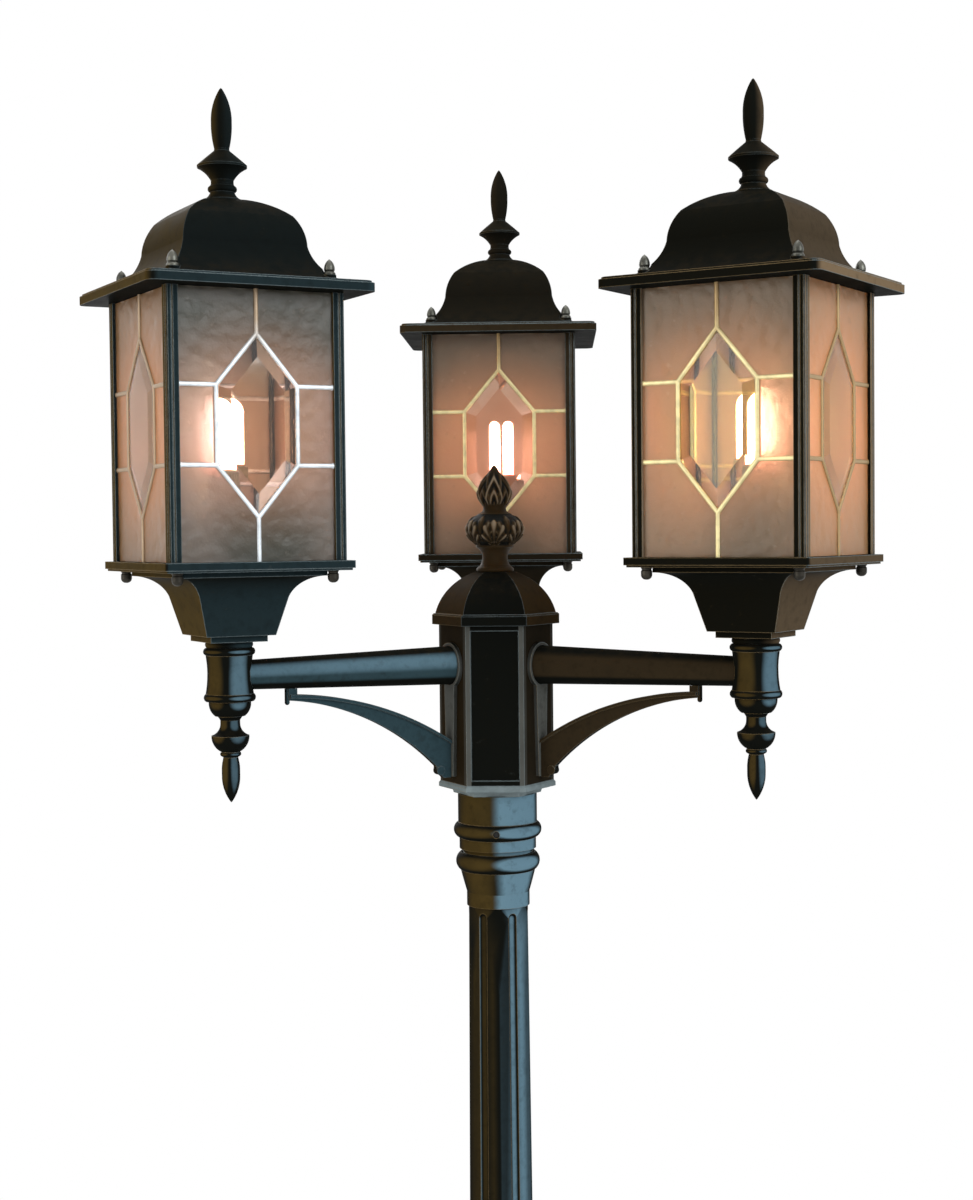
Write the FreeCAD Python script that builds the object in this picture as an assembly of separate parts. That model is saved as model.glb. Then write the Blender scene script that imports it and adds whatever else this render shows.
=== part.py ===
import FreeCAD
import Part
import math
import os

# Triple head lamp post. Millimetres, +Z up, origin on the post's axis at ground level.
# The front of the post faces -Y. Heads are built along +X and then turned to their places.

# ---- fits -------------------------------------------------------------------
running_gap = 0.3          # between curved faces, and round rods and spigots
glass_gap = 0.3            # round each piece of glass in its lead
hole_gap = 0.3             # radial play of a screw or stud in its hole
over = 1.0                 # how far a cutter or a fused piece reaches past a face

# ---- heads and where they stand ---------------------------------------------
head_angles = {"left": 210.0, "right": -30.0, "back": 90.0}
arm_reach = 285.0          # post axis to lantern axis

# ---- base, post and post head -----------------------------------------------
base_plate_radius = 145.0
base_plate_thickness = 14.0
base_height = 150.0
base_bell_radius = 104.0
base_bell_height = 62.0
base_socket_wall = 9.0
base_edge_round = 4.0
base_step_height = 8.0
base_step_in = 6.0
base_step_slope = 3.0
base_waist_radius = 88.0
base_waist_height = 36.0
base_bead_out = 13.0
base_bead_foot_out = 8.0
base_bead_height = 12.0
base_bead_gap = 3.0
base_collar_out = 2.0
base_ring_drop = 14.0
base_ring_out = 6.0
base_ring_height = 10.0
base_screw_drop = 24.0
anchor_circle = 240.0
anchor_hole_radius = 6.0
anchor_count = 4
anchor_first_angle = 45.0
cable_hole_radius = 22.0

post_length = 1580.0
post_top_radius = 30.0
post_foot_radius = 39.5
post_wall = 4.5
flute_count = 6
flute_radius = 6.0
flute_depth = 2.3
flute_first_angle = 0.0
flute_top_margin = 4.0
flute_foot_margin = 60.0

head_socket_depth = 89.0
head_crown_height = 25.0
head_cylinder_radius = 40.0
head_ring_radius = 44.5
head_ring_height = 16.0
head_ring_drop = 29.0
head_step_radius = 38.8
head_groove_radius = 35.0
head_lower_ring_radius = 42.5
head_lower_ring_height = 18.0
head_skirt_radius = 34.7
head_skirt_drop = 24.0
head_edge_in = 1.0
head_step_height = 11.0
head_groove_height = 4.0
head_foot_wall = 1.5
head_foot_height = 14.0
head_wire_hole_radius = 12.0
set_screw_radius = 3.0
set_screw_count = 3
set_screw_sunk = 2.0
base_screw_first_angle = 30.0
head_screw_first_angle = -90.0

# ---- hub --------------------------------------------------------------------
hub_corner_radius = 57.5
hub_wall = 6.0
hub_height = 171.0
hub_chamfer_height = 8.5
hub_ledge_height = 6.0
hub_ledge_out = 1.5
hub_ledge_overlap = 2.0
hub_ledge_slope = 2.0
hub_foot_in = 1.5
hub_foot_bow = 1.0
hub_foot_bow_height = 5.0
hub_floor = 10.5
hub_panel_border = 5.0
hub_panel_depth = 1.6
arm_above_hub_bottom = 131.0
cap_brim_radius = 64.3
cap_brim_height = 11.0
cap_dome_foot_radius = 61.0
cap_dome_top_radius = 20.5
cap_dome_height = 41.5
cap_wall = 4.0
cap_lip_height = 6.0
cap_lip_wall = 3.0
cap_edge_round = 1.5
cap_bulge_share = 0.83
cap_hollow_share = 0.76
hub_finial_height = 107.5
hub_finial_parts = 107.5   # its outline is drawn on this many parts of its height
hub_finial_foot_radius = 19.0
hub_neck_radius = 12.6
hub_ball_radius = 29.3
hub_bud_radius = 17.0
terminal_slot_half = 1.5
terminal_slot_depth = 4.0
terminal_slot_start = 11.0
stud_radius = 4.0
stud_length = 9.0
boss_radius = 9.0

# ---- arm, escutcheon and brace ----------------------------------------------
arm_root_radius = 19.3
arm_tip_radius = 14.0
arm_bore_radius = 9.0
arm_tenon_radius = 13.0
arm_tenon_past_wall = 3.0
escutcheon_thickness = 4.0
escutcheon_rim = 3.2
escutcheon_strip_top = 22.0
escutcheon_strip_foot = 14.0
brace_web = 7.0
brace_flange = 12.5
brace_flange_thickness = 3.2
brace_outer_reach = 226.0
brace_outer_drop = 21.0
brace_outer_depth = 5.5
brace_crown_reach = 127.5
brace_crown_drop = 38.7
brace_root_drop = 75.0
brace_belly_reach = 138.3
brace_belly_drop = 51.3
brace_heel_reach = 70.0
brace_heel_drop = 100.0
brace_foot_height = 12.0
brace_heel_chamfer = 8.0
brace_spur_radius = 4.5
brace_spur_width = 9.0
brace_spur_in = 4.5
brace_tab_length = 9.0
brace_tab_width = 8.0
brace_hook_radius = 2.4
brace_hook_drop = 7.5

# ---- arm socket and drop finial ---------------------------------------------
socket_above = 26.5
socket_below = 38.0
socket_ring_radius = 24.4
socket_waist_radius = 20.8
socket_edge_radius = 22.6
socket_cup_radius = 19.9
socket_cavity_radius = 14.0
socket_cavity_above = 18.0
socket_cavity_below = 15.0
arm_seat_depth = 5.5
socket_foot_radius = 14.2
socket_cup_height = 14.0
socket_ring_height = 7.0
socket_lip = 0.5
drop_finial_length = 82.0
drop_finial_parts = 82.0   # its outline is drawn on this many parts of its length
drop_neck_radius = 9.3
drop_bead_radius = 17.8
drop_spear_radius = 8.6

# ---- lantern ----------------------------------------------------------------
neck_ring_height = 6.0
neck_ring_radius = 22.5
neck_step_half = 28.0
neck_step_height = 6.0
neck_foot_half = 34.0
neck_knee_half = 43.5
neck_knee_height = 36.0
neck_flare_height = 19.5
neck_lip_half = 71.0
neck_lip_height = 5.0
neck_wall = 4.0
neck_floor = 6.0
neck_ring_bulge = 1.5
neck_flare_bow = 6.5
neck_flare_bow_height = 10.5
tray_edge_step = 2.0
tray_half = 91.5
tray_thickness = 9.0
tray_corner = 3.0
body_half = 85.0
cage_height = 245.0
corner_leg = 11.0
corner_thickness = 3.2
corner_groove = 1.1
corner_groove_inset = 4.2
corner_groove_width = 2.0
corner_edge = 1.2
eave_half = 108.5
eave_thickness = 10.0
eave_corner = 9.0
eave_opening_half = 61.0
eave_bead = 2.0
dome_height = 80.5
dome_skirt_half = 82.0
dome_skirt_edge = 3.0
dome_flare_half = 67.5
dome_flare_height = 16.5
dome_waist_half = 60.0
dome_waist_height = 34.0
dome_side_half = 57.2
dome_side_height = 49.0
dome_shoulder_half = 50.2
dome_shoulder_height = 62.5
dome_brow_half = 34.0
dome_brow_height = 74.0
dome_top_half = 17.0
dome_wall = 4.0
finial_height = 105.0
finial_parts = 105.0       # its outline is drawn on this many parts of its height
finial_base_radius = 17.6
finial_saucer_radius = 23.3
finial_neck_radius = 10.6
finial_spear_radius = 9.7
tie_rod_place = 75.0
tie_rod_radius = 2.5
corner_boss_radius = 6.3
corner_boss_height = 7.0
acorn_radius = 5.0
acorn_height = 14.5
acorn_parts = 14.5         # its outline is drawn on this many parts of its height
acorn_bore_depth = 9.0
knob_radius = 5.2
knob_drop = 11.5
knob_parts = 11.5          # its outline is drawn on this many parts of its height
knob_bore_depth = 6.0

# ---- glass and its lead lines -----------------------------------------------
glass_thickness = 3.0
diamond_half_width = 38.8
diamond_half_height = 82.5
diamond_side_half = 35.8
lead_width = 4.2
lead_heart = 1.6
lead_leaf = 1.2
bevel_width = 11.0
bevel_rise = 2.4

# ---- lamp holder, lamp and wiring -------------------------------------------
holder_radius = 20.0
holder_height = 52.0
holder_floor = 4.0
holder_wire_space_radius = 8.5
holder_wire_space_height = 14.0
holder_web = 4.0
holder_groove = 2.0
holder_foot_height = 6.0
holder_lip_height = 10.0
holder_slope = 2.5
lamp_cap_radius = 13.2
lamp_cap_gap = 0.9
lamp_tip_radius = 5.0
lamp_tip_height = 3.0
lamp_body_radius = 19.0
lamp_body_height = 37.5
lamp_rest_gap = 0.5
lamp_tip_slope = 2.0
lamp_cap_edge = 1.5
lamp_body_in = 3.0
lamp_body_slope = 8.0
lamp_body_edge = 2.0
tube_radius = 5.8
tube_spacing = 15.6
tube_height = 62.0
nipple_radius = 5.0
nipple_bore_radius = 3.2
nipple_nut_radius = 8.5
nipple_nut_height = 3.5
nipple_end = 1.5
terminal_radius = 26.0
terminal_height = 18.0
terminal_hole_radius = 8.0
terminal_lead_place = 17.0
lead_radius = 2.5
lead_bend_at_hub = 25.0
lead_bend_at_socket = 12.0

# ---- heights worked out from the sizes above ---------------------------------
post_seat = base_plate_thickness
post_top = post_seat + post_length
post_head_bottom = post_top - head_socket_depth
post_head_top = post_top + head_crown_height
hub_bottom = post_head_top
hub_top = hub_bottom + hub_height
hub_floor_top = hub_bottom + hub_chamfer_height + hub_floor
arm_height = hub_bottom + arm_above_hub_bottom
hub_apothem = hub_corner_radius * math.cos(math.radians(30))
hub_inner_apothem = hub_apothem - hub_wall

socket_top = arm_height + socket_above
socket_bottom = arm_height - socket_below
neck_step_bottom = socket_top + neck_ring_height
neck_foot = neck_step_bottom + neck_step_height
neck_knee = neck_foot + neck_knee_height
neck_lip_bottom = neck_knee + neck_flare_height
tray_bottom = neck_lip_bottom + neck_lip_height
tray_top = tray_bottom + tray_thickness
eave_bottom = tray_top + cage_height
eave_top = eave_bottom + eave_thickness
dome_top = eave_top + dome_height
pane_outer = body_half - corner_thickness - glass_gap
pane_inner = pane_outer - glass_thickness
pane_middle = (tray_top + eave_bottom) / 2
holder_top = tray_top + holder_height
holder_web_bottom = tray_top + holder_floor + holder_wire_space_height
lamp_seat = holder_web_bottom + holder_web
lamp_body_bottom = holder_top + lamp_rest_gap
lamp_body_top = lamp_body_bottom + lamp_body_height
tie_rod_top = eave_top + corner_boss_height + acorn_bore_depth - over
tie_rod_bottom = tray_bottom - knob_bore_depth + over / 2


# ---- drawing helpers ----------------------------------------------------------
class Outline:
    """One side of a shape, from its foot up: radius or half width against height."""

    def __init__(self, reach, height):
        self.start = (reach, height)
        self.end = (reach, height)
        self.steps = []

    def line(self, reach, height):
        self.steps.append((None, (reach, height)))
        self.end = (reach, height)
        return self

    def arc(self, through, to):
        self.steps.append((through, to))
        self.end = to
        return self

    def edges(self, side=1):
        made = []
        here = self.start
        for through, to in self.steps:
            first = FreeCAD.Vector(side * here[0], 0, here[1])
            last = FreeCAD.Vector(side * to[0], 0, to[1])
            if through is None:
                made.append(Part.LineSegment(first, last).toShape())
            else:
                middle = FreeCAD.Vector(side * through[0], 0, through[1])
                made.append(Part.Arc(first, middle, last).toShape())
            here = to
        return made


def line_edge(a, b):
    return Part.LineSegment(FreeCAD.Vector(*a), FreeCAD.Vector(*b)).toShape()


def turned(outline):
    """A turned solid: the outline spun about the Z axis."""
    edges = outline.edges()
    foot, top = outline.start, outline.end
    if foot[0] > 0:
        edges.append(line_edge((0, 0, foot[1]), (foot[0], 0, foot[1])))
    if top[0] > 0:
        edges.append(line_edge((top[0], 0, top[1]), (0, 0, top[1])))
    edges.append(line_edge((0, 0, top[1]), (0, 0, foot[1])))
    face = Part.Face(Part.Wire(Part.__sortEdges__(edges)))
    return face.revolve(FreeCAD.Vector(0, 0, 0), FreeCAD.Vector(0, 0, 1), 360)


def sided(outline, sides, first_angle=0.0):
    """A four or six sided solid whose every face follows the outline."""
    foot, top = outline.start, outline.end
    edges = outline.edges(1) + outline.edges(-1)
    edges.append(line_edge((-foot[0], 0, foot[1]), (foot[0], 0, foot[1])))
    edges.append(line_edge((-top[0], 0, top[1]), (top[0], 0, top[1])))
    face = Part.Face(Part.Wire(Part.__sortEdges__(edges)))
    widest = 2 * max(abs(point[0]) for _, point in [(None, foot)] + outline.steps)
    face.translate(FreeCAD.Vector(0, -widest, 0))
    block = face.extrude(FreeCAD.Vector(0, 2 * widest, 0))
    solid = None
    for index in range(sides // 2):
        turned_block = block.copy()
        turned_block.rotate(FreeCAD.Vector(0, 0, 0), FreeCAD.Vector(0, 0, 1),
                            first_angle + index * 360.0 / sides)
        solid = turned_block if solid is None else solid.common(turned_block)
    return solid


def cylinder(radius, bottom, top, x=0.0, y=0.0):
    return Part.makeCylinder(radius, top - bottom, FreeCAD.Vector(x, y, bottom))


def box(x0, x1, y0, y1, z0, z1):
    return Part.makeBox(x1 - x0, y1 - y0, z1 - z0, FreeCAD.Vector(x0, y0, z0))


def lying_cylinder(radius, x0, x1, z):
    return Part.makeCylinder(radius, x1 - x0, FreeCAD.Vector(x0, 0, z), FreeCAD.Vector(1, 0, 0))


def lying_cone(radius0, radius1, x0, x1, z):
    return Part.makeCone(radius0, radius1, x1 - x0, FreeCAD.Vector(x0, 0, z),
                         FreeCAD.Vector(1, 0, 0))


def about_z(shape, angle, x=0.0, y=0.0):
    copy = shape.copy()
    copy.rotate(FreeCAD.Vector(x, y, 0), FreeCAD.Vector(0, 0, 1), angle)
    return copy


def ring_of(shape, count, first_angle=0.0, x=0.0):
    """Copies of a shape spaced evenly round a vertical axis at x."""
    return [about_z(shape, first_angle + 360.0 * i / count, x) for i in range(count)]


def to_lantern(shape):
    """Moves a shape made round the Z axis out to the end of the arm."""
    copy = shape.copy()
    copy.translate(FreeCAD.Vector(arm_reach, 0, 0))
    return copy


def corner_places():
    return [(sx * tie_rod_place, sy * tie_rod_place) for sx in (-1, 1) for sy in (-1, 1)]


def square_plate(half, bottom, top, corner):
    plate = box(-half, half, -half, half, bottom, top)
    upright = [e for e in plate.Edges
               if abs(e.Vertexes[0].Z - e.Vertexes[1].Z) > (top - bottom) / 2]
    return plate.makeFillet(corner, upright)


# ---- base and post --------------------------------------------------------------
def post_radius_at(height):
    low = base_height
    share = (height - low) / (post_head_bottom - low)
    return post_foot_radius + (post_top_radius - post_foot_radius) * share


def base_socket_radius():
    return post_foot_radius + running_gap + base_socket_wall


def make_base_casting():
    socket = base_socket_radius()
    plate_top = base_plate_thickness
    bell_top = plate_top + base_bell_height
    bead_bottom = bell_top + base_bead_gap
    bead_top = bead_bottom + base_bead_height
    ring_bottom = base_height - base_ring_drop
    ring_top = ring_bottom + base_ring_height
    bead_foot = socket + base_bead_foot_out
    collar = socket + base_collar_out
    edge = base_edge_round
    outline = Outline(base_plate_radius, 0)
    outline.line(base_plate_radius, plate_top - edge)
    outline.arc((base_plate_radius - edge * 0.3, plate_top - edge * 0.3),
                (base_plate_radius - edge, plate_top))
    outline.line(base_bell_radius, plate_top)
    outline.line(base_bell_radius, plate_top + base_step_height)
    outline.line(base_bell_radius - base_step_in, plate_top + base_step_height + base_step_slope)
    outline.arc((base_waist_radius, plate_top + base_waist_height), (bead_foot, bell_top))
    outline.line(bead_foot, bead_bottom)
    outline.arc((socket + base_bead_out, (bead_bottom + bead_top) / 2), (bead_foot, bead_top))
    outline.line(collar, bead_top + base_bead_gap)
    outline.line(collar, ring_bottom)
    outline.arc((socket + base_ring_out, (ring_bottom + ring_top) / 2), (collar, ring_top))
    outline.line(socket, base_height)
    body = turned(outline)
    bore = cylinder(post_foot_radius + running_gap, post_seat, base_height + over)
    body = body.cut(bore)
    body = body.cut(cylinder(cable_hole_radius, -over, post_seat + over))
    anchor = cylinder(anchor_hole_radius, -over, plate_top + over, anchor_circle / 2)
    for hole in ring_of(anchor, anchor_count, anchor_first_angle):
        body = body.cut(hole)
    for hole in base_screw_blanks(set_screw_radius + hole_gap, base_plate_radius):
        body = body.cut(hole)
    return body


def base_screw_blanks(radius, length):
    height = base_height - base_screw_drop
    start = post_foot_radius + running_gap
    blank = lying_cylinder(radius, start, start + length, height)
    return ring_of(blank, set_screw_count, base_screw_first_angle)


def make_post():
    outer = Outline(post_foot_radius, post_seat)
    outer.line(post_foot_radius, base_height)
    outer.line(post_top_radius, post_head_bottom)
    outer.line(post_top_radius, post_top)
    inner = Outline(post_foot_radius - post_wall, post_seat - over)
    inner.line(post_foot_radius - post_wall, base_height)
    inner.line(post_top_radius - post_wall, post_head_bottom)
    inner.line(post_top_radius - post_wall, post_top + over)
    post = turned(outer).cut(turned(inner))
    for cutter in ring_of(flute_cutter(), flute_count, flute_first_angle):
        post = post.cut(cutter)
    return post


def flute_cutter():
    """A round-ended rod that leans with the taper and cuts one flute."""
    top = post_head_bottom - flute_top_margin - flute_radius
    foot = base_height + flute_foot_margin
    out = flute_radius - flute_depth
    high = FreeCAD.Vector(post_radius_at(top) + out, 0, top)
    low = FreeCAD.Vector(post_radius_at(foot) + out, 0, foot)
    along = high - low
    rod = Part.makeCylinder(flute_radius, along.Length, low, along)
    ends = [Part.makeSphere(flute_radius, high), Part.makeSphere(flute_radius, low)]
    return rod.fuse(ends).removeSplitter()


def head_ring_middle():
    return post_head_top - head_ring_drop - head_ring_height / 2


def make_post_head():
    ring_top = post_head_top - head_ring_drop
    ring_bottom = ring_top - head_ring_height
    step_bottom = ring_bottom - head_step_height
    lower_top = step_bottom - head_groove_height
    lower_bottom = lower_top - head_lower_ring_height
    lower_edge = head_step_radius - head_edge_in
    ring_edge = head_cylinder_radius - head_edge_in
    foot = post_top_radius + running_gap + head_foot_wall
    outline = Outline(foot, post_head_bottom)
    outline.line(foot, post_head_bottom + head_foot_height)
    outline.arc((head_skirt_radius, post_head_bottom + head_skirt_drop), (lower_edge, lower_bottom))
    outline.arc((head_lower_ring_radius, (lower_top + lower_bottom) / 2), (lower_edge, lower_top))
    outline.line(head_groove_radius, lower_top)
    outline.line(head_groove_radius, step_bottom)
    outline.line(head_step_radius, step_bottom)
    outline.line(head_step_radius, ring_bottom)
    outline.line(ring_edge, ring_bottom)
    outline.arc((head_ring_radius, head_ring_middle()), (ring_edge, ring_top))
    outline.line(head_cylinder_radius, ring_top)
    outline.line(head_cylinder_radius, post_head_top)
    body = turned(outline)
    body = body.cut(cylinder(post_top_radius + running_gap, post_head_bottom - over, post_top))
    body = body.cut(cylinder(head_wire_hole_radius, post_top - over, post_head_top + over))
    for hole in head_screw_blanks(set_screw_radius + hole_gap, head_ring_radius):
        body = body.cut(hole)
    return body


def head_screw_blanks(radius, length):
    start = post_top_radius + running_gap
    blank = lying_cylinder(radius, start, start + length, head_ring_middle())
    return ring_of(blank, set_screw_count, head_screw_first_angle)


def make_set_screws():
    head_length = head_ring_radius - post_top_radius - running_gap - set_screw_sunk
    base_length = base_socket_radius() - post_foot_radius - running_gap
    screws = head_screw_blanks(set_screw_radius, head_length)
    return screws + base_screw_blanks(set_screw_radius, base_length)


# ---- hub --------------------------------------------------------------------------
def hub_outline(apothem, bottom, top):
    return Outline(apothem, bottom).line(apothem, top)


def make_hub():
    ledge_apothem = hub_apothem + hub_ledge_out
    ledge_bottom = hub_bottom + hub_chamfer_height - hub_ledge_overlap
    ledge_top = ledge_bottom + hub_ledge_height
    slope = hub_ledge_slope
    outline = Outline(head_cylinder_radius - hub_foot_in, hub_bottom)
    outline.arc((head_cylinder_radius + hub_foot_bow, hub_bottom + hub_foot_bow_height),
                (ledge_apothem - slope * 1.5, ledge_bottom - slope / 2))
    outline.line(ledge_apothem, ledge_bottom)
    outline.line(ledge_apothem, ledge_top - slope)
    outline.line(hub_apothem, ledge_top)
    outline.line(hub_apothem, hub_top)
    hub = sided(outline, 6, 30.0)
    inside = hub_outline(hub_inner_apothem, hub_floor_top, hub_top + over)
    hub = hub.cut(sided(inside, 6, 30.0))
    hub = hub.cut(cylinder(head_wire_hole_radius, hub_bottom - over, hub_floor_top + over))
    hole = lying_cylinder(arm_tenon_radius + hole_gap, 0, hub_apothem + over, arm_height)
    for angle in head_angles.values():
        hub = hub.cut(about_z(hole, angle))
        hub = hub.cut(about_z(panel_pocket(ledge_top), angle + 180.0))
    return hub


def panel_pocket(ledge_top):
    half = hub_corner_radius / 2 - hub_panel_border
    return box(hub_apothem - hub_panel_depth, hub_apothem + over, -half, half,
               ledge_top + hub_panel_border, hub_top - hub_panel_border)


def make_hub_cap():
    to_apothem = math.cos(math.radians(30))
    foot = cap_dome_foot_radius * to_apothem
    top = cap_dome_top_radius * to_apothem
    brim = cap_brim_radius * to_apothem
    brim_top = hub_top + cap_brim_height
    dome_peak = brim_top + cap_dome_height
    edge = cap_edge_round
    outline = Outline(brim, hub_top)
    outline.line(brim, brim_top - edge)
    outline.line(brim - edge, brim_top)
    outline.line(foot, brim_top)
    outline.arc((foot * cap_bulge_share, brim_top + cap_dome_height / 2), (top, dome_peak))
    cap = sided(outline, 6, 30.0)
    lip_bottom = hub_top - cap_lip_height
    lip_outer = hub_inner_apothem - 2 * running_gap
    mouth = lip_outer - cap_lip_wall
    lip = sided(hub_outline(lip_outer, lip_bottom, hub_top + over), 6, 30.0)
    cap = cap.fuse(lip).removeSplitter()
    hollow = Outline(mouth, lip_bottom - over)
    hollow.line(mouth, brim_top)
    hollow.arc(((foot - cap_wall) * cap_hollow_share, brim_top + cap_dome_height * 0.42),
               (top - cap_wall, dome_peak - cap_wall))
    cap = cap.cut(sided(hollow, 6, 30.0))
    boss = cylinder(boss_radius, dome_peak - cap_wall - stud_length, dome_peak - cap_wall / 2)
    cap = cap.fuse(boss).removeSplitter()
    stud_hole = cylinder(stud_radius + hole_gap, dome_peak - stud_length - over, dome_peak + over)
    return cap.cut(stud_hole)


def make_hub_finial():
    foot = hub_top + cap_brim_height + cap_dome_height
    part = hub_finial_height / hub_finial_parts
    base = hub_finial_foot_radius
    neck = hub_neck_radius
    ball_bottom = foot + 26 * part
    ball_top = foot + 58.5 * part
    bud_bottom = foot + 66 * part
    tip = foot + hub_finial_height
    outline = Outline(base - part, foot)
    outline.arc((base, foot + 2 * part), (base - part, foot + 4 * part))
    outline.arc((neck + part, foot + 8.5 * part), (neck, foot + 15 * part))
    outline.arc((neck + part, foot + 20 * part), (neck + 5.5 * part, ball_bottom - 1.5 * part))
    outline.line(neck + 5.5 * part, ball_bottom)
    outline.arc((hub_ball_radius, (ball_bottom + ball_top) / 2), (neck + 2 * part, ball_top))
    outline.arc((neck - 1.5 * part, ball_top + 4 * part), (neck - 0.6 * part, bud_bottom))
    outline.arc((hub_bud_radius, bud_bottom + 12 * part),
                (hub_bud_radius - 6.5 * part, bud_bottom + 26 * part))
    outline.line(1.2 * part, tip - part)
    outline.line(0, tip)
    stud = cylinder(stud_radius, foot - stud_length, foot + over)
    return turned(outline).fuse(stud).removeSplitter()


def make_terminal_block():
    top = hub_floor_top + terminal_height
    block = cylinder(terminal_radius, hub_floor_top, top)
    block = block.cut(cylinder(terminal_hole_radius, hub_floor_top - over, top + over))
    slot = box(terminal_slot_start, terminal_radius + over, -terminal_slot_half, terminal_slot_half,
               top - terminal_slot_depth, top + over)
    for cutter in ring_of(slot, 3, -90.0):
        block = block.cut(cutter)
    return block


# ---- arm, escutcheon and brace ------------------------------------------------------
def arm_start():
    return hub_apothem


def arm_end():
    return arm_reach - socket_waist_radius + arm_seat_depth


def arm_solid(extra=0.0):
    return lying_cone(arm_root_radius + extra, arm_tip_radius + extra, arm_start(), arm_end(),
                      arm_height)


def make_arm():
    tenon_start = hub_inner_apothem - arm_tenon_past_wall
    tenon = lying_cylinder(arm_tenon_radius, tenon_start, arm_start() + over, arm_height)
    bore = lying_cylinder(arm_bore_radius, tenon_start - over, arm_end() + over, arm_height)
    return arm_solid().fuse(tenon).removeSplitter().cut(bore)


def make_escutcheon():
    x0 = hub_apothem
    x1 = x0 + escutcheon_thickness
    rim = arm_root_radius + escutcheon_rim
    plate = lying_cylinder(rim, x0, x1, arm_height)
    foot = brace_foot_bottom() + over
    top_half = escutcheon_strip_top / 2
    foot_half = escutcheon_strip_foot / 2
    corners = [(x0, -top_half, arm_height), (x0, -foot_half, foot),
               (x0, foot_half, foot), (x0, top_half, arm_height), (x0, -top_half, arm_height)]
    strip = Part.Face(Part.makePolygon([FreeCAD.Vector(*c) for c in corners]))
    strip = strip.extrude(FreeCAD.Vector(escutcheon_thickness, 0, 0))
    plate = plate.fuse(strip).removeSplitter()
    return plate.cut(arm_solid(running_gap))


def brace_foot_bottom():
    return arm_height - brace_heel_drop - brace_foot_height


def brace_face(points_up, points_down):
    """A closed face in the arm's upright plane from two three-point arcs."""
    up = [FreeCAD.Vector(r, 0, arm_height - d) for r, d in points_up]
    down = [FreeCAD.Vector(r, 0, arm_height - d) for r, d in points_down]
    edges = [Part.Arc(*up).toShape(), Part.Arc(*down).toShape()]
    edges.append(Part.LineSegment(up[0], down[0]).toShape())
    edges.append(Part.LineSegment(up[2], down[2]).toShape())
    return Part.Face(Part.Wire(Part.__sortEdges__(edges)))


def thick(face, width):
    face.translate(FreeCAD.Vector(0, -width / 2, 0))
    return face.extrude(FreeCAD.Vector(0, width, 0))


def make_brace():
    root = hub_apothem + escutcheon_thickness
    top = [(brace_outer_reach, brace_outer_drop), (brace_crown_reach, brace_crown_drop),
           (root, brace_root_drop)]
    belly = [(brace_outer_reach, brace_outer_drop + brace_outer_depth),
             (brace_belly_reach, brace_belly_drop), (brace_heel_reach, brace_heel_drop)]
    web_face = brace_face(top, belly)
    heel = thick(heel_face(root), brace_web)
    web = thick(web_face, brace_web)
    under = [(r, d + brace_flange_thickness) for r, d in top]
    flange = thick(brace_face(top, under), brace_flange)
    spur = Part.makeCylinder(brace_spur_radius, brace_spur_width,
                             FreeCAD.Vector(brace_heel_reach - brace_spur_in, -brace_spur_width / 2,
                                            arm_height - brace_heel_drop - brace_spur_in),
                             FreeCAD.Vector(0, 1, 0))
    hook_reach = brace_outer_reach + brace_hook_radius / 2
    hook_foot = arm_height - brace_outer_drop - brace_hook_drop
    tab = box(hook_reach - brace_tab_length, hook_reach, -brace_tab_width / 2, brace_tab_width / 2,
              arm_height - brace_outer_drop - brace_flange_thickness, arm_height - arm_tip_radius)
    hook = cylinder(brace_hook_radius, hook_foot, arm_height - arm_tip_radius, hook_reach)
    hook_end = Part.makeSphere(brace_hook_radius, FreeCAD.Vector(hook_reach, 0, hook_foot))
    brace = web.fuse([heel, flange, spur, tab, hook, hook_end]).removeSplitter()
    return brace.cut(arm_solid(running_gap))


def heel_face(root):
    bottom = brace_foot_bottom()
    corners = [(root, arm_height - brace_root_drop), (brace_heel_reach, arm_height - brace_heel_drop),
               (brace_heel_reach, bottom + brace_heel_chamfer),
               (brace_heel_reach - brace_heel_chamfer, bottom), (root, bottom)]
    points = [FreeCAD.Vector(x, 0, z) for x, z in corners]
    return Part.Face(Part.makePolygon(points + [points[0]]))


# ---- arm socket and drop finial ------------------------------------------------------
def make_arm_socket():
    low, high = socket_bottom, socket_top
    cup_top = low + socket_cup_height
    ring_top = cup_top + socket_ring_height
    edge = socket_edge_radius
    outline = Outline(socket_foot_radius, low)
    outline.arc(((socket_foot_radius + socket_cup_radius) / 2 + 1.2, low + socket_cup_height * 0.36),
                (socket_cup_radius, low + socket_cup_height * 0.86))
    outline.line(socket_cup_radius, cup_top)
    outline.line(edge, cup_top)
    outline.arc((socket_ring_radius, (cup_top + ring_top) / 2), (edge, ring_top))
    outline.arc((socket_waist_radius, arm_height), (edge - socket_lip, high - socket_ring_height))
    outline.arc((socket_ring_radius, high - socket_ring_height / 2), (edge - 2 * socket_lip, high))
    body = turned(outline)
    body = body.cut(cylinder(socket_cavity_radius, arm_height - socket_cavity_below,
                             arm_height + socket_cavity_above))
    body = body.cut(cylinder(nipple_radius + hole_gap, arm_height, high + over))
    body = body.cut(cylinder(stud_radius + hole_gap, low - over, low + stud_length + over))
    body = to_lantern(body)
    outside = arm_reach - 2 * socket_ring_radius
    seat = lying_cylinder(arm_tip_radius + 2 * running_gap, outside, arm_end() + running_gap,
                          arm_height)
    wire_hole = lying_cylinder(arm_bore_radius, outside, arm_reach, arm_height)
    return body.cut(seat).cut(wire_hole)


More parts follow.
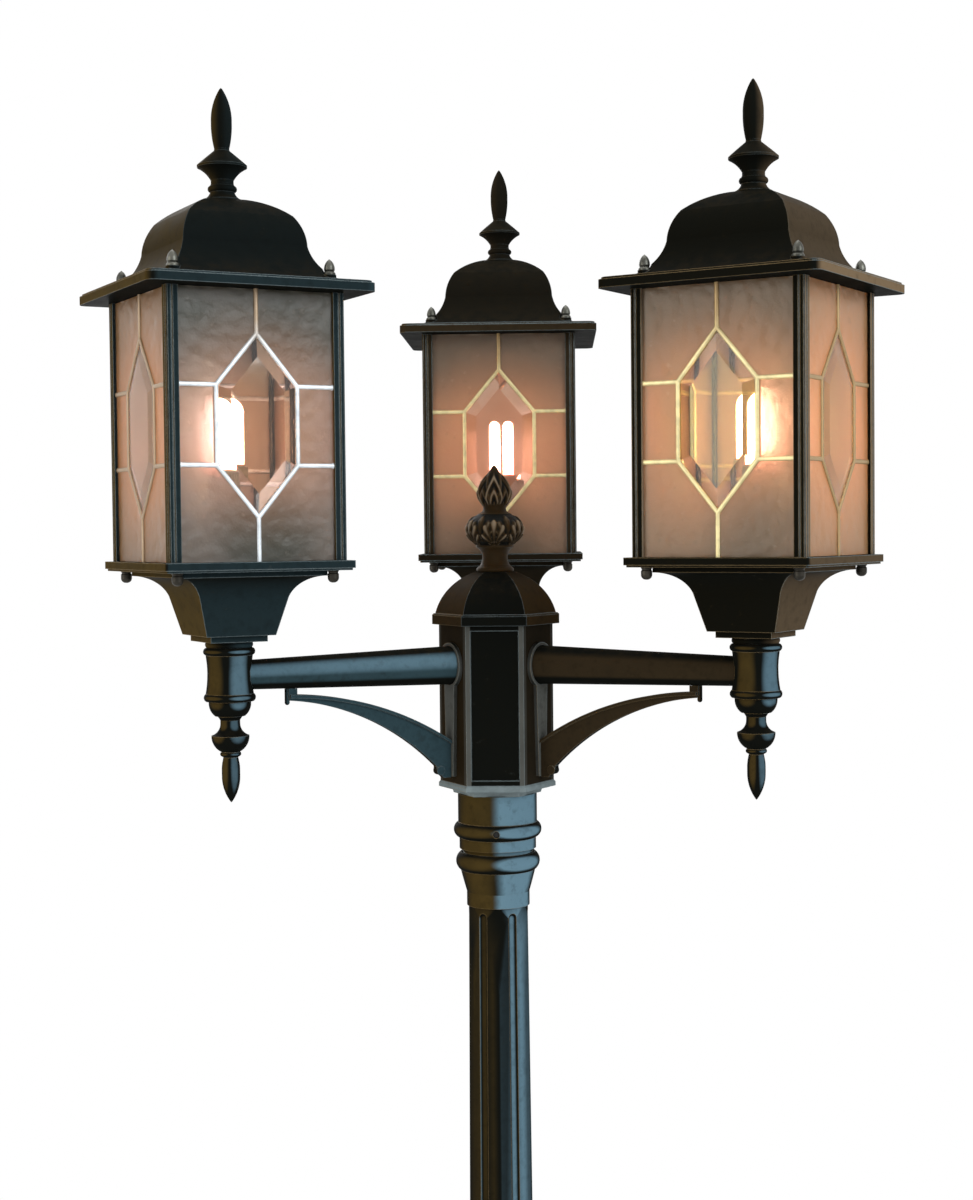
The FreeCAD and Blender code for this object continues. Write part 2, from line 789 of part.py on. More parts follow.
def make_drop_finial():
    part = drop_finial_length / drop_finial_parts
    top = socket_bottom
    tip = top - drop_finial_length
    neck = drop_neck_radius
    spear = drop_spear_radius
    bead = drop_bead_radius
    outline = Outline(0, tip)
    outline.line(part, tip + part)
    outline.arc((spear - 1.2 * part, tip + 15 * part), (spear, tip + 27 * part))
    outline.arc((spear - 0.3 * part, tip + 36 * part), (spear - 1.6 * part, tip + 43 * part))
    outline.line(neck - 0.6 * part, tip + 44 * part)
    outline.arc((neck + 0.6 * part, tip + 46 * part), (neck - 0.6 * part, tip + 48 * part))
    outline.arc((bead - 3.2 * part, tip + 53 * part), (bead, tip + 61.5 * part))
    outline.line(bead, tip + 63.5 * part)
    outline.arc((neck + 1.5 * part, tip + 69 * part), (neck, tip + 75 * part))
    outline.line(neck, top - 4 * part)
    outline.arc((neck + 1.2 * part, top - 2 * part), (neck + 2.8 * part, top))
    body = turned(outline)
    stud = cylinder(stud_radius, top - over, top + stud_length)
    return to_lantern(body.fuse(stud).removeSplitter())


# ---- lantern base --------------------------------------------------------------------
def make_neck_casting():
    knee = neck_knee_half
    bow = knee + neck_flare_bow
    bow_height = neck_knee + neck_flare_bow_height
    square = Outline(neck_step_half, neck_step_bottom)
    square.line(neck_step_half, neck_foot)
    square.line(neck_foot_half, neck_foot)
    square.line(knee, neck_knee)
    square.arc((bow, bow_height), (neck_lip_half, neck_lip_bottom))
    square.line(neck_lip_half, tray_bottom)
    body = sided(square, 4)
    ring_edge = neck_ring_radius - neck_ring_bulge
    ring = Outline(ring_edge, socket_top)
    ring.arc((neck_ring_radius, socket_top + neck_ring_height / 2), (ring_edge, neck_step_bottom))
    body = body.fuse(turned(ring)).removeSplitter()
    mouth = neck_lip_half - 3 * neck_wall
    inside = Outline(neck_foot_half - neck_wall, neck_foot + neck_floor)
    inside.line(knee - neck_wall, neck_knee)
    inside.arc((bow - neck_wall, bow_height + neck_wall / 2), (mouth, tray_bottom - neck_wall / 2))
    inside.line(mouth, tray_bottom + over)
    body = body.cut(sided(inside, 4))
    body = body.cut(cylinder(nipple_radius + hole_gap, socket_top - over, tray_bottom))
    return to_lantern(body)


def make_tray():
    step = tray_edge_step
    tray = square_plate(tray_half, tray_bottom, tray_top, tray_corner)
    edge_cut = square_plate(tray_half + step, tray_bottom - over, tray_bottom + step, tray_corner)
    kept = square_plate(tray_half - step, tray_bottom - step, tray_bottom + 2 * step, tray_corner)
    tray = tray.cut(edge_cut.cut(kept))
    tray = tray.cut(cylinder(nipple_radius + hole_gap, tray_bottom - over, tray_top + over))
    for x, y in corner_places():
        tray = tray.cut(cylinder(tie_rod_radius + hole_gap, tray_bottom - over, tray_top + over, x, y))
    return to_lantern(tray)


def make_foot_knobs():
    knobs = []
    part = knob_drop / knob_parts
    bottom = tray_bottom - knob_drop
    neck = knob_radius * 0.86
    outline = Outline(0, bottom)
    outline.arc((knob_radius * 0.75, bottom + 1.3 * part), (knob_radius, bottom + 4 * part))
    outline.line(knob_radius, bottom + 8 * part)
    outline.line(neck, bottom + 8.8 * part)
    outline.line(neck, bottom + 9.8 * part)
    outline.line(knob_radius, bottom + 10.4 * part)
    outline.line(knob_radius, tray_bottom)
    knob = turned(outline)
    bore = cylinder(tie_rod_radius + hole_gap, tray_bottom - knob_bore_depth, tray_bottom + over)
    knob = knob.cut(bore)
    for x, y in corner_places():
        copy = knob.copy()
        copy.translate(FreeCAD.Vector(x + arm_reach, y, 0))
        knobs.append(copy)
    return knobs


def make_tie_rods():
    return [cylinder(tie_rod_radius, tie_rod_bottom, tie_rod_top, x + arm_reach, y)
            for x, y in corner_places()]


# ---- cage and glass --------------------------------------------------------------------
def make_cage_posts():
    """Four grooved angle sections, the outer corner of each at the body's corner."""
    h, leg, t = body_half, corner_leg, corner_thickness
    g, gi, gw, e = corner_groove, corner_groove_inset, corner_groove_width, corner_edge
    side = [(h - leg, h), (h - gi - gw, h), (h - gi - gw / 2, h - g), (h - gi, h), (h - e, h),
            (h, h - e)]
    other = [(y, x) for x, y in reversed(side[:4])]
    inner = [(h - t, h - leg), (h - t, h - t), (h - leg, h - t)]
    points = [FreeCAD.Vector(x, y, tray_top) for x, y in side + other + inner]
    face = Part.Face(Part.makePolygon(points + [points[0]]))
    post = face.extrude(FreeCAD.Vector(0, 0, cage_height))
    return [to_lantern(p) for p in ring_of(post, 4)]


def bar(start, end, half_width, y0, y1):
    """A flat bar with round ends between two points of a pane, drawn as (x, z)."""
    a = FreeCAD.Vector(start[0], y0, start[1])
    b = FreeCAD.Vector(end[0], y0, end[1])
    along = b - a
    across = FreeCAD.Vector(-along.z, 0, along.x).normalize() * half_width
    corners = [a + across, b + across, b - across, a - across, a + across]
    body = Part.Face(Part.makePolygon(corners)).extrude(FreeCAD.Vector(0, y1 - y0, 0))
    rounds = [Part.makeCylinder(half_width, y1 - y0, p, FreeCAD.Vector(0, 1, 0)) for p in (a, b)]
    return body.fuse(rounds)


def diamond():
    w, h, s = diamond_half_width, diamond_half_height, diamond_side_half
    shape = [(0, h), (w, s), (w, -s), (0, -h), (-w, -s), (-w, s)]
    return [(x, pane_middle + z) for x, z in shape]


def lead_lines(side_reach):
    corners = diamond()
    lines = [(corners[i], corners[(i + 1) % 6]) for i in range(6)]
    lines.append((corners[0], (0, eave_bottom + lead_width)))
    lines.append((corners[3], (0, tray_top - lead_width)))
    for index in (1, 2, 4, 5):
        x, z = corners[index]
        lines.append(((x, z), (math.copysign(side_reach, x), z)))
    return lines


def lead_tracery(half_width, y0, y1, side_reach):
    bars = [bar(a, b, half_width, y0, y1) for a, b in lead_lines(side_reach)]
    tracery = bars[0].fuse(bars[1:])
    limit = box(-side_reach, side_reach, y0 - over, y1 + over, tray_top, eave_bottom)
    return tracery.common(limit).removeSplitter()


def on_four_sides(shapes):
    return [to_lantern(about_z(s, 90.0 * i)) for i in range(4) for s in shapes]


def pane_half_width():
    return pane_inner - 2 * glass_gap


def make_came():
    leaf_reach = body_half - corner_leg - glass_gap
    behind_reach = tie_rod_place - tie_rod_radius - glass_gap
    heart_reach = pane_half_width()
    front = lead_tracery(lead_width / 2, pane_outer + glass_gap,
                         pane_outer + glass_gap + lead_leaf, leaf_reach)
    behind = lead_tracery(lead_width / 2, pane_inner - glass_gap - lead_leaf,
                          pane_inner - glass_gap, behind_reach)
    heart = lead_tracery(lead_heart / 2, pane_inner - glass_gap, pane_outer + glass_gap, heart_reach)
    came = front.fuse([behind, heart]).removeSplitter()
    return on_four_sides([came])


def make_textured_glass():
    half = pane_half_width()
    pane = box(-half, half, pane_inner, pane_outer, tray_top + glass_gap, eave_bottom - glass_gap)
    kerf = lead_tracery(lead_heart / 2 + glass_gap, pane_inner - over, pane_outer + over,
                        half + lead_width)
    pieces = pane.cut(kerf).Solids
    middle = FreeCAD.Vector(0, (pane_inner + pane_outer) / 2, pane_middle)
    outer = [p for p in pieces if (p.CenterOfMass - middle).Length > diamond_half_width / 2]
    return on_four_sides(outer)


def diamond_wire(inset, y):
    points = [FreeCAD.Vector(x, y, z) for x, z in diamond()]
    wire = Part.makePolygon(points + [points[0]])
    return wire.makeOffset2D(-inset, 2, False, False)


def make_clear_glass():
    edge_inset = lead_heart / 2 + glass_gap
    slab = Part.Face(diamond_wire(edge_inset, pane_inner))
    slab = slab.extrude(FreeCAD.Vector(0, glass_thickness, 0))
    foot = diamond_wire(lead_width / 2 + glass_gap, pane_outer)
    crown = diamond_wire(lead_width / 2 + glass_gap + bevel_width, pane_outer + bevel_rise)
    bevel = Part.makeLoft([foot, crown], True, True)
    return on_four_sides([slab.fuse(bevel).removeSplitter()])


# ---- roof -----------------------------------------------------------------------------
def make_eave():
    bead = eave_bead
    eave = square_plate(eave_half, eave_bottom, eave_top, eave_corner)
    step = square_plate(eave_half + bead, eave_top - bead, eave_top + over, eave_corner)
    kept = square_plate(eave_half - bead, eave_bottom, eave_top + 2 * over, eave_corner)
    eave = eave.cut(step.cut(kept))
    opening = eave_opening_half
    eave = eave.cut(box(-opening, opening, -opening, opening, eave_bottom - over, eave_top + over))
    for x, y in corner_places():
        eave = eave.cut(cylinder(tie_rod_radius + hole_gap, eave_bottom - over, eave_top + over, x, y))
    return to_lantern(eave)


def dome_outline():
    foot = eave_top
    outline = Outline(dome_skirt_half, foot)
    outline.line(dome_skirt_half, foot + dome_skirt_edge)
    outline.arc((dome_flare_half, foot + dome_flare_height),
                (dome_waist_half, foot + dome_waist_height))
    outline.arc((dome_side_half, foot + dome_side_height),
                (dome_shoulder_half, foot + dome_shoulder_height))
    outline.arc((dome_brow_half, foot + dome_brow_height), (dome_top_half, dome_top))
    return outline


def dome_hollow():
    wall = dome_wall
    foot = eave_top
    outline = Outline(dome_waist_half - wall, foot - over)
    outline.line(dome_waist_half - wall, foot + dome_waist_height)
    outline.arc((dome_side_half - wall, foot + dome_side_height - wall / 2),
                (dome_shoulder_half - wall, foot + dome_shoulder_height - wall))
    outline.arc((dome_brow_half - wall, foot + dome_brow_height - wall),
                (dome_top_half - wall, dome_top - wall))
    return outline


def make_dome():
    boss_top = eave_top + corner_boss_height
    dome = sided(dome_outline(), 4)
    for x, y in corner_places():
        spot_face = cylinder(corner_boss_radius + hole_gap, boss_top, dome_top, x, y)
        boss = cylinder(corner_boss_radius, eave_top, boss_top, x, y)
        dome = dome.cut(spot_face).fuse(boss).removeSplitter()
    dome = dome.cut(sided(dome_hollow(), 4))
    stud_boss = cylinder(boss_radius, dome_top - dome_wall - stud_length, dome_top - dome_wall / 2)
    dome = dome.fuse(stud_boss).removeSplitter()
    stud_hole = cylinder(stud_radius + hole_gap, dome_top - stud_length - over, dome_top + over)
    dome = dome.cut(stud_hole)
    for x, y in corner_places():
        dome = dome.cut(cylinder(tie_rod_radius + hole_gap, eave_top - over, boss_top + over, x, y))
    return to_lantern(dome)


def make_acorn_nuts():
    part = acorn_height / acorn_parts
    foot = eave_top + corner_boss_height
    flange = acorn_radius + 0.6 * part
    outline = Outline(flange, foot)
    outline.line(flange, foot + 1.5 * part)
    outline.line(acorn_radius - 0.6 * part, foot + 3 * part)
    outline.line(acorn_radius, foot + 4.5 * part)
    outline.arc((acorn_radius - 0.6 * part, foot + 9 * part),
                (acorn_radius - 2.6 * part, foot + 12.5 * part))
    outline.line(0, foot + acorn_height)
    nut = turned(outline)
    nut = nut.cut(cylinder(tie_rod_radius + hole_gap, foot - over, foot + acorn_bore_depth))
    nuts = []
    for x, y in corner_places():
        copy = nut.copy()
        copy.translate(FreeCAD.Vector(x + arm_reach, y, 0))
        nuts.append(copy)
    return nuts


def make_finial():
    part = finial_height / finial_parts
    foot = dome_top
    base = finial_base_radius
    neck = finial_neck_radius
    saucer = finial_saucer_radius
    spear = finial_spear_radius
    outline = Outline(base, foot)
    outline.line(base, foot + 1.2 * part)
    outline.arc((neck + 3 * part, foot + 4 * part), (neck + 0.8 * part, foot + 8 * part))
    outline.arc((neck + 3 * part, foot + 11 * part), (neck + 0.8 * part, foot + 14 * part))
    outline.line(neck, foot + 16 * part)
    outline.line(neck, foot + 19 * part)
    outline.arc((neck + 4.4 * part, foot + 25 * part), (saucer, foot + 31 * part))
    outline.line(saucer, foot + 33 * part)
    outline.arc((neck + 4.6 * part, foot + 40 * part), (neck - 3.2 * part, foot + 46.5 * part))
    outline.line(neck - 3.6 * part, foot + 48.5 * part)
    outline.arc((spear - 0.4 * part, foot + 62 * part), (spear, foot + 73 * part))
    outline.arc((spear - 2.2 * part, foot + 90 * part), (1.2 * part, foot + 104 * part))
    outline.line(0, foot + finial_height)
    stud = cylinder(stud_radius, foot - stud_length, foot + over)
    return to_lantern(turned(outline).fuse(stud).removeSplitter())


# ---- lamp holder, lamp and wiring ---------------------------------------------------------
def make_lamp_holder():
    waist = holder_radius - holder_groove
    outline = Outline(holder_radius, tray_top)
    outline.line(holder_radius, tray_top + holder_foot_height)
    outline.line(waist, tray_top + holder_foot_height + holder_slope)
    outline.line(waist, holder_top - holder_lip_height - holder_slope)
    outline.line(holder_radius, holder_top - holder_lip_height)
    outline.line(holder_radius, holder_top)
    body = turned(outline)
    body = body.cut(cylinder(lamp_cap_radius + lamp_cap_gap, lamp_seat, holder_top + over))
    body = body.cut(cylinder(holder_wire_space_radius, tray_top + holder_floor, holder_web_bottom))
    body = body.cut(cylinder(nipple_radius + hole_gap, tray_top - over,
                             tray_top + holder_floor + over))
    return to_lantern(body)


def make_lamp_base():
    tip_top = lamp_seat + lamp_tip_height
    slope = lamp_tip_slope
    outline = Outline(lamp_tip_radius, lamp_seat)
    outline.line(lamp_tip_radius, tip_top)
    outline.line(lamp_cap_radius - lamp_cap_edge, tip_top + slope)
    outline.line(lamp_cap_radius, tip_top + 2 * slope)
    outline.line(lamp_cap_radius, lamp_body_bottom)
    outline.line(lamp_body_radius - lamp_body_in, lamp_body_bottom)
    outline.line(lamp_body_radius, lamp_body_bottom + lamp_body_slope)
    outline.line(lamp_body_radius, lamp_body_top - lamp_body_edge)
    outline.line(lamp_body_radius - lamp_body_edge / 2, lamp_body_top)
    return to_lantern(turned(outline))


def make_lamp_tubes():
    """Two upright bent tubes side by side."""
    half = tube_spacing / 2
    shoulder = lamp_body_top + tube_height - half - tube_radius
    tubes = []
    for side in (-half, half):
        foot_a = FreeCAD.Vector(-half, side, lamp_body_top)
        top_a = FreeCAD.Vector(-half, side, shoulder)
        crown = FreeCAD.Vector(0, side, shoulder + half)
        top_b = FreeCAD.Vector(half, side, shoulder)
        foot_b = FreeCAD.Vector(half, side, lamp_body_top)
        legs = [Part.makeCylinder(tube_radius, shoulder - lamp_body_top, foot)
                for foot in (foot_a, foot_b)]
        bend = Part.Wire([Part.Arc(top_a, crown, top_b).toShape()])
        section = Part.Wire([Part.makeCircle(tube_radius, top_a)])
        turn = bend.makePipeShell([section], True, False)
        tubes.append(to_lantern(legs[0].fuse([legs[1], turn]).removeSplitter()))
    return tubes


def make_nipple():
    nut_bottom = arm_height + socket_cavity_above - nipple_nut_height
    bottom = nut_bottom - nipple_end
    top = tray_top + holder_floor
    tube = cylinder(nipple_radius, bottom, top)
    corners = [math.radians(angle) for angle in range(0, 361, 60)]
    nut = Part.makePolygon([FreeCAD.Vector(nipple_nut_radius * math.cos(angle),
                                           nipple_nut_radius * math.sin(angle), nut_bottom)
                            for angle in corners])
    nut = Part.Face(nut).extrude(FreeCAD.Vector(0, 0, nipple_nut_height))
    body = tube.fuse(nut).removeSplitter()
    return to_lantern(body.cut(cylinder(nipple_bore_radius, bottom - over, top + over)))


def make_lamp_lead():
    """From the terminal block up and along the arm, then up into the lamp holder."""
    start = FreeCAD.Vector(terminal_lead_place, 0, hub_floor_top + terminal_height)
    bend_in = lead_bend_at_hub
    bend_out = lead_bend_at_socket
    diagonal = 1 - math.cos(math.radians(45))
    p1 = FreeCAD.Vector(terminal_lead_place, 0, arm_height - bend_in)
    m1 = FreeCAD.Vector(terminal_lead_place + bend_in * diagonal, 0, arm_height - bend_in * diagonal)
    p2 = FreeCAD.Vector(terminal_lead_place + bend_in, 0, arm_height)
    p3 = FreeCAD.Vector(arm_reach - bend_out, 0, arm_height)
    m2 = FreeCAD.Vector(arm_reach - bend_out * diagonal, 0, arm_height + bend_out * diagonal)
    p4 = FreeCAD.Vector(arm_reach, 0, arm_height + bend_out)
    end = FreeCAD.Vector(arm_reach, 0, holder_web_bottom)
    path = Part.Wire([Part.LineSegment(start, p1).toShape(), Part.Arc(p1, m1, p2).toShape(),
                      Part.LineSegment(p2, p3).toShape(), Part.Arc(p3, m2, p4).toShape(),
                      Part.LineSegment(p4, end).toShape()])
    section = Part.Wire([Part.makeCircle(lead_radius, start)])
    lead = path.makePipeShell([section], True, False)
    error = lead.Volume / (math.pi * lead_radius ** 2 * path.Length) - 1
    print("lamp lead: length %.1f mm, volume error %.4f, bends R %.0f and R %.0f"
          % (path.Length, error, bend_in, bend_out))
    return lead


# ---- write every node ----------------------------------------------------------------------
def as_list(made):
    return made if isinstance(made, list) else [made]


def write(node, shapes):
    solids = [solid for shape in shapes for solid in shape.Solids]
    for solid in solids:
        if not solid.isValid():
            print("not valid:", node)
    whole = solids[0] if len(solids) == 1 else Part.makeCompound(solids)
    whole.exportStep("parts/%s.step" % node)
    print("%-24s %3d solids  %9.1f cm3" % (node, len(solids), whole.Volume / 1000))


HEAD_PARTS = {
    "arm": make_arm,
    "brace": make_brace,
    "neck_casting": make_neck_casting,
    "tray": make_tray,
    "cage_posts": make_cage_posts,
    "came": make_came,
    "textured_glass": make_textured_glass,
    "clear_glass": make_clear_glass,
    "lamp_holder": make_lamp_holder,
    "lamp_base": make_lamp_base,
    "lamp_tubes": make_lamp_tubes,
    "eave": make_eave,
    "dome": make_dome,
    "acorn_nuts": make_acorn_nuts,
    "finial": make_finial,
}

GROUPED_HEAD_PARTS = {
    "arm_sockets": make_arm_socket,
    "drop_finials": make_drop_finial,
    "escutcheons": make_escutcheon,
    "foot_knobs": make_foot_knobs,
    "tie_rods": make_tie_rods,
    "nipples": make_nipple,
    "lamp_leads": make_lamp_lead,
}

POST_PARTS = {
    "base_casting": make_base_casting,
    "post": make_post,
    "post_head": make_post_head,
    "set_screws": make_set_screws,
    "hub": make_hub,
    "hub_cap": make_hub_cap,
    "hub_finial": make_hub_finial,
    "terminal_block": make_terminal_block,
}


def main():
    os.makedirs("parts", exist_ok=True)
    for name, make in POST_PARTS.items():
        write(name, as_list(make()))
    for name, make in HEAD_PARTS.items():
        pattern = as_list(make())
        for head, angle in head_angles.items():
            write("%s_%s" % (head, name), [about_z(shape, angle) for shape in pattern])
    for name, make in GROUPED_HEAD_PARTS.items():
        pattern = as_list(make())
        everywhere = [about_z(shape, angle) for angle in head_angles.values() for shape in pattern]
        write(name, everywhere)


main()
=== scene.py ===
import functools
import math

import bmesh
import bpy
from bpy.props import FloatProperty, FloatVectorProperty, IntProperty, PointerProperty
from mathutils import Matrix, Vector, noise


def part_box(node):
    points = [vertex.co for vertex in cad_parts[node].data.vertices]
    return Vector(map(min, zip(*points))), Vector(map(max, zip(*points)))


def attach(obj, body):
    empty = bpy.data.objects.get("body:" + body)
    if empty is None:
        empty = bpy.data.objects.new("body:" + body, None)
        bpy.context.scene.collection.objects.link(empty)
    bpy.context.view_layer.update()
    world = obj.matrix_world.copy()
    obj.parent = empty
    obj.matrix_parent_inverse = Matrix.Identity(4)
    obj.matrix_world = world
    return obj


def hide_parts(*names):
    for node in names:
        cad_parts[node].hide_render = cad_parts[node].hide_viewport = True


bl_info = {
    "name": "Triple Head Lamp Post",
    "version": (1, 0, 0),
    "blender": (4, 5, 0),
    "location": "View3D > Sidebar > Lamp Post",
    "description": "Dresses a three lantern garden lamp post around its CAD frame",
    "category": "Object",
}

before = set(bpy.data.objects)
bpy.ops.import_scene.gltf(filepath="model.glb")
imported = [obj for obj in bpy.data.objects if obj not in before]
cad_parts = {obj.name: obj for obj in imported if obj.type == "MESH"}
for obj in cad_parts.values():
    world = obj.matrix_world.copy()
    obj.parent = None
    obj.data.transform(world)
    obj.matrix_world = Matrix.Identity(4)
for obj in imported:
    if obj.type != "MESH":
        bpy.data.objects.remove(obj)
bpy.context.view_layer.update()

MM = 0.001
TOUCH = 0.01 * MM
HEAD_ANGLES = {"left": 210.0, "right": -30.0, "back": 90.0}
QUARTER_TURNS = [Matrix.Rotation(side * math.pi / 2, 3, "Z") for side in range(4)]

# The back head stands square to the axes, so its boxes give the sizes that all three heads share.
CAGE_LOW, CAGE_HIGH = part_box("back_cage_posts")
GLASS_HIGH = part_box("back_textured_glass")[1]
LAMP_LOW, LAMP_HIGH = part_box("back_lamp_base")
TUBES_LOW, TUBES_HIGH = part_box("back_lamp_tubes")
CAP_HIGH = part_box("hub_cap")[1]
HUB_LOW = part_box("hub")[0]
ARM_REACH = (CAGE_LOW.y + CAGE_HIGH.y) / 2
TRAY_TOP = CAGE_LOW.z
EAVE_BOTTOM = CAGE_HIGH.z
PANE_MIDDLE = (TRAY_TOP + EAVE_BOTTOM) / 2
PANE_OUTER = GLASS_HIGH.y - ARM_REACH
PANE_THICKNESS = 3.0 * MM
PANE_INNER = PANE_OUTER - PANE_THICKNESS
LEAD_REACH = 73.7 * MM
LEAD_GAP = 0.15 * MM


# ---- sizes and colours a user would change ----
def size(name, description, default, low=0.0, high=1.0):
    return FloatProperty(name=name, description=description, default=default, min=low, max=high,
                         subtype="DISTANCE", unit="LENGTH", precision=5)


def colour(name, description, default):
    return FloatVectorProperty(name=name, description=description, default=default, min=0.0,
                               max=1.0, size=3, subtype="COLOR_GAMMA")


class LampPostSizes(bpy.types.PropertyGroup):
    diamond_half_width: size("Diamond half width", "Half the clear hexagon's width", 38.8 * MM)
    diamond_half_height: size("Diamond half height", "Half the clear hexagon's height", 82.5 * MM)
    diamond_side_half: size("Diamond side", "Half the height of its upright sides", 35.8 * MM)
    lead_width: size("Lead width", "Width of the lead lines", 4.2 * MM)
    lead_rise: size("Lead rise", "Height of the rounded lead over the glass", 1.7 * MM)
    lead_heart: size("Lead heart", "Thickness of the lead between two panes", 1.6 * MM)
    solder_radius: size("Solder radius", "Radius of the solder at each joint", 2.7 * MM)
    solder_rise: size("Solder rise", "Height of the solder over the glass", 1.9 * MM)
    hammer_pitch: size("Hammer pitch", "Distance between the dimples of the glass", 10.5 * MM)
    hammer_depth: size("Hammer depth", "Depth of the dimples of the glass", 0.7 * MM)
    hammer_grid: size("Hammer grid", "Edge of one face of the dimpled glass", 2.6 * MM)
    edge_round: size("Edge round", "How far the castings' edges are rubbed", 1.3 * MM)
    panel_half: size("Hub panel", "Half the width of the hub's sunk panels", 23.75 * MM)
    hub_band: size("Hub band", "Height of the pale band round the hub's foot", 12.0 * MM)
    holder_shadow: size("Holder shadow", "How far the holder darkens the glass", 102.0 * MM)
    leaf_count: IntProperty(name="Leaves", description="Leaves round the finial's ball", default=6)
    petal_count: IntProperty(name="Petals", description="Petals round the finial's bud", default=4)
    leaf_relief: size("Leaf relief", "How far the carved leaves stand out", 3.4 * MM)
    rib_count: IntProperty(name="Lamp ribs", description="Ribs round each lamp's base", default=36)
    floor_radius: size("Floor radius", "Radius of the pale floor", 3.1, 0.5, 10.0)


class LampPostColours(bpy.types.PropertyGroup):
    deep: colour("Deep paint", "Darkest colour of the antique paint", (0.07, 0.075, 0.065))
    # olive, slate and sky are painted light: the tints of faces turned to the warm and the cool
    # light, and the painted highlights of the turned pieces and the left arm.
    olive_light: colour("Olive patina", "Warm patina of the left head and the post", (0.29, 0.235, 0.12))
    slate_light: colour("Slate patina", "Cool patina on the left head", (0.19, 0.265, 0.29))
    sky_highlight: colour("Sky patina", "Bright cool patina of collar and post", (0.4, 0.52, 0.58))
    black: colour("Black patina", "Shaded side of the right head", (0.085, 0.075, 0.045))
    beige: colour("Beige patina", "Lit side of the right head", (0.47, 0.395, 0.305))
    # Where they follow the way a face turns, umber and bronze are painted light: on the right arm,
    # the back head, the hub and its cap. Umber is also the dust on upward faces, and bronze the
    # carving's raised relief.
    umber: colour("Umber patina", "Brown of the right arm and back head", (0.2, 0.165, 0.115))
    bronze: colour("Bronze patina", "Brown patina of the hub and its cap", (0.215, 0.165, 0.095))
    carving: colour("Carving", "Rubbed tips of the hub finial's leaves", (0.52, 0.46, 0.38))
    # Rubbed edges are pale as wear and as a painted highlight; old gold is their painted warm
    # light on faces turned to the warm side.
    rub: colour("Rubbed edge", "Pewter colour of the rubbed edges", (0.5, 0.55, 0.56))
    old_gold_light: colour("Old gold edge", "Rubbed edges on the warm side", (0.5, 0.42, 0.28))
    pewter: colour("Pewter frame", "Dull pewter of the hub's frames", (0.345, 0.35, 0.335))
    # These glass tints differ from head to head as the light falls on each: painted light. The
    # gold is the painted light on each lantern's outermost side.
    left_glass: colour("Left glass", "Hammered glass of the left lantern", (0.6, 0.545, 0.5))
    right_glass: colour("Right glass", "Hammered glass of the right lantern", (0.73, 0.6, 0.47))
    back_glass: colour("Back glass", "Hammered glass of the back lantern", (0.72, 0.61, 0.515))
    left_gold: colour("Left gold", "Outermost side of the left lantern", (0.7, 0.54, 0.375))
    right_gold: colour("Right gold", "Outermost side of the right lantern", (0.85, 0.65, 0.45))
    shade_glass: colour("Shaded glass", "Grey green near roof and tray", (0.345, 0.35, 0.305))
    spark: colour("Hammer mark", "Light caught by the hammer marks", (0.82, 0.78, 0.72))
    # Painted glow: the hammered glass glows near the lamp, though it is no lamp.
    glow: colour("Glow", "Lamp light caught in the hammered glass", (1.0, 0.62, 0.34))
    # These clear tints differ from head to head as the light falls on each: painted light. The
    # bevel colour is a painted reflection on the slanted facets.
    left_clear: colour("Left clear", "Tan of the left lantern's clear glass", (0.86, 0.77, 0.64))
    right_clear: colour("Right clear", "Yellow of the right clear glass", (0.83, 0.8, 0.56))
    back_clear: colour("Back clear", "Orange of the back clear glass", (0.86, 0.69, 0.58))
    bevel: colour("Bevel", "Paler slanted facets of the clear glass", (0.93, 0.92, 0.91))
    lamp: colour("Lamp light", "Colour of the lit tubes", (1.0, 0.86, 0.86))
    # One tinned lead in painted light: silver on the left head, golden on the others; the shaded
    # lead is painted shade.
    silver_lead: colour("Silver lead", "Lead lines of the left lantern", (0.93, 0.96, 0.98))
    gold_lead: colour("Golden lead", "Lead lines of the other lanterns", (0.94, 0.88, 0.66))
    shaded_lead: colour("Dull lead", "Lead lines on each outermost side", (0.62, 0.5, 0.34))


def sizes():
    return bpy.context.scene.lamp_post_sizes


def colours():
    return bpy.context.scene.lamp_post_colours


def linear(shade):
    """A picked colour as the linear RGBA that shader sockets take."""
    steps = [c / 12.92 if c <= 0.04045 else ((c + 0.055) / 1.055) ** 2.4 for c in shade]
    return (*steps, 1.0)


def add_node(tree, kind, settings=None, inputs=None):
    """Adds a node: its settings first, then its inputs, which are values or sockets to link."""
    made = tree.nodes.new(kind)
    for key, value in (settings or {}).items():
        setattr(made, key, value)
    for key, value in (inputs or {}).items():
        if isinstance(value, bpy.types.NodeSocket):
            tree.links.new(value, made.inputs[key])
        else:
            made.inputs[key].default_value = value
    return made


# ---- shader maths as plain expressions ----
class Value:
    """One output socket of a material, so that maths on it reads as plain arithmetic."""

    def __init__(self, paint, socket):
        self.paint = paint
        self.socket = socket

    def maths(self, operation, first, second):
        return self.paint.node("ShaderNodeMath", {"operation": operation}, {0: first, 1: second})

    def __add__(self, other):
        return self.maths("ADD", self, other)

    __radd__ = __add__

    def __sub__(self, other):
        return self.maths("SUBTRACT", self, other)

    def __rsub__(self, other):
        return self.maths("SUBTRACT", other, self)

    def __mul__(self, other):
        return self.maths("MULTIPLY", self, other)

    __rmul__ = __mul__

    def __truediv__(self, other):
        return self.maths("DIVIDE", self, other)

    def __pow__(self, other):
        return self.maths("POWER", self, other)

    def within(self, low, high):
        """0 below low, 1 above high and smooth between them."""
        return self.paint.node("ShaderNodeMapRange", {"interpolation_type": "SMOOTHSTEP"},
                               {"Value": self, "From Min": low, "From Max": high})

    def limited(self):
        return self.paint.node("ShaderNodeClamp", {}, {"Value": self})


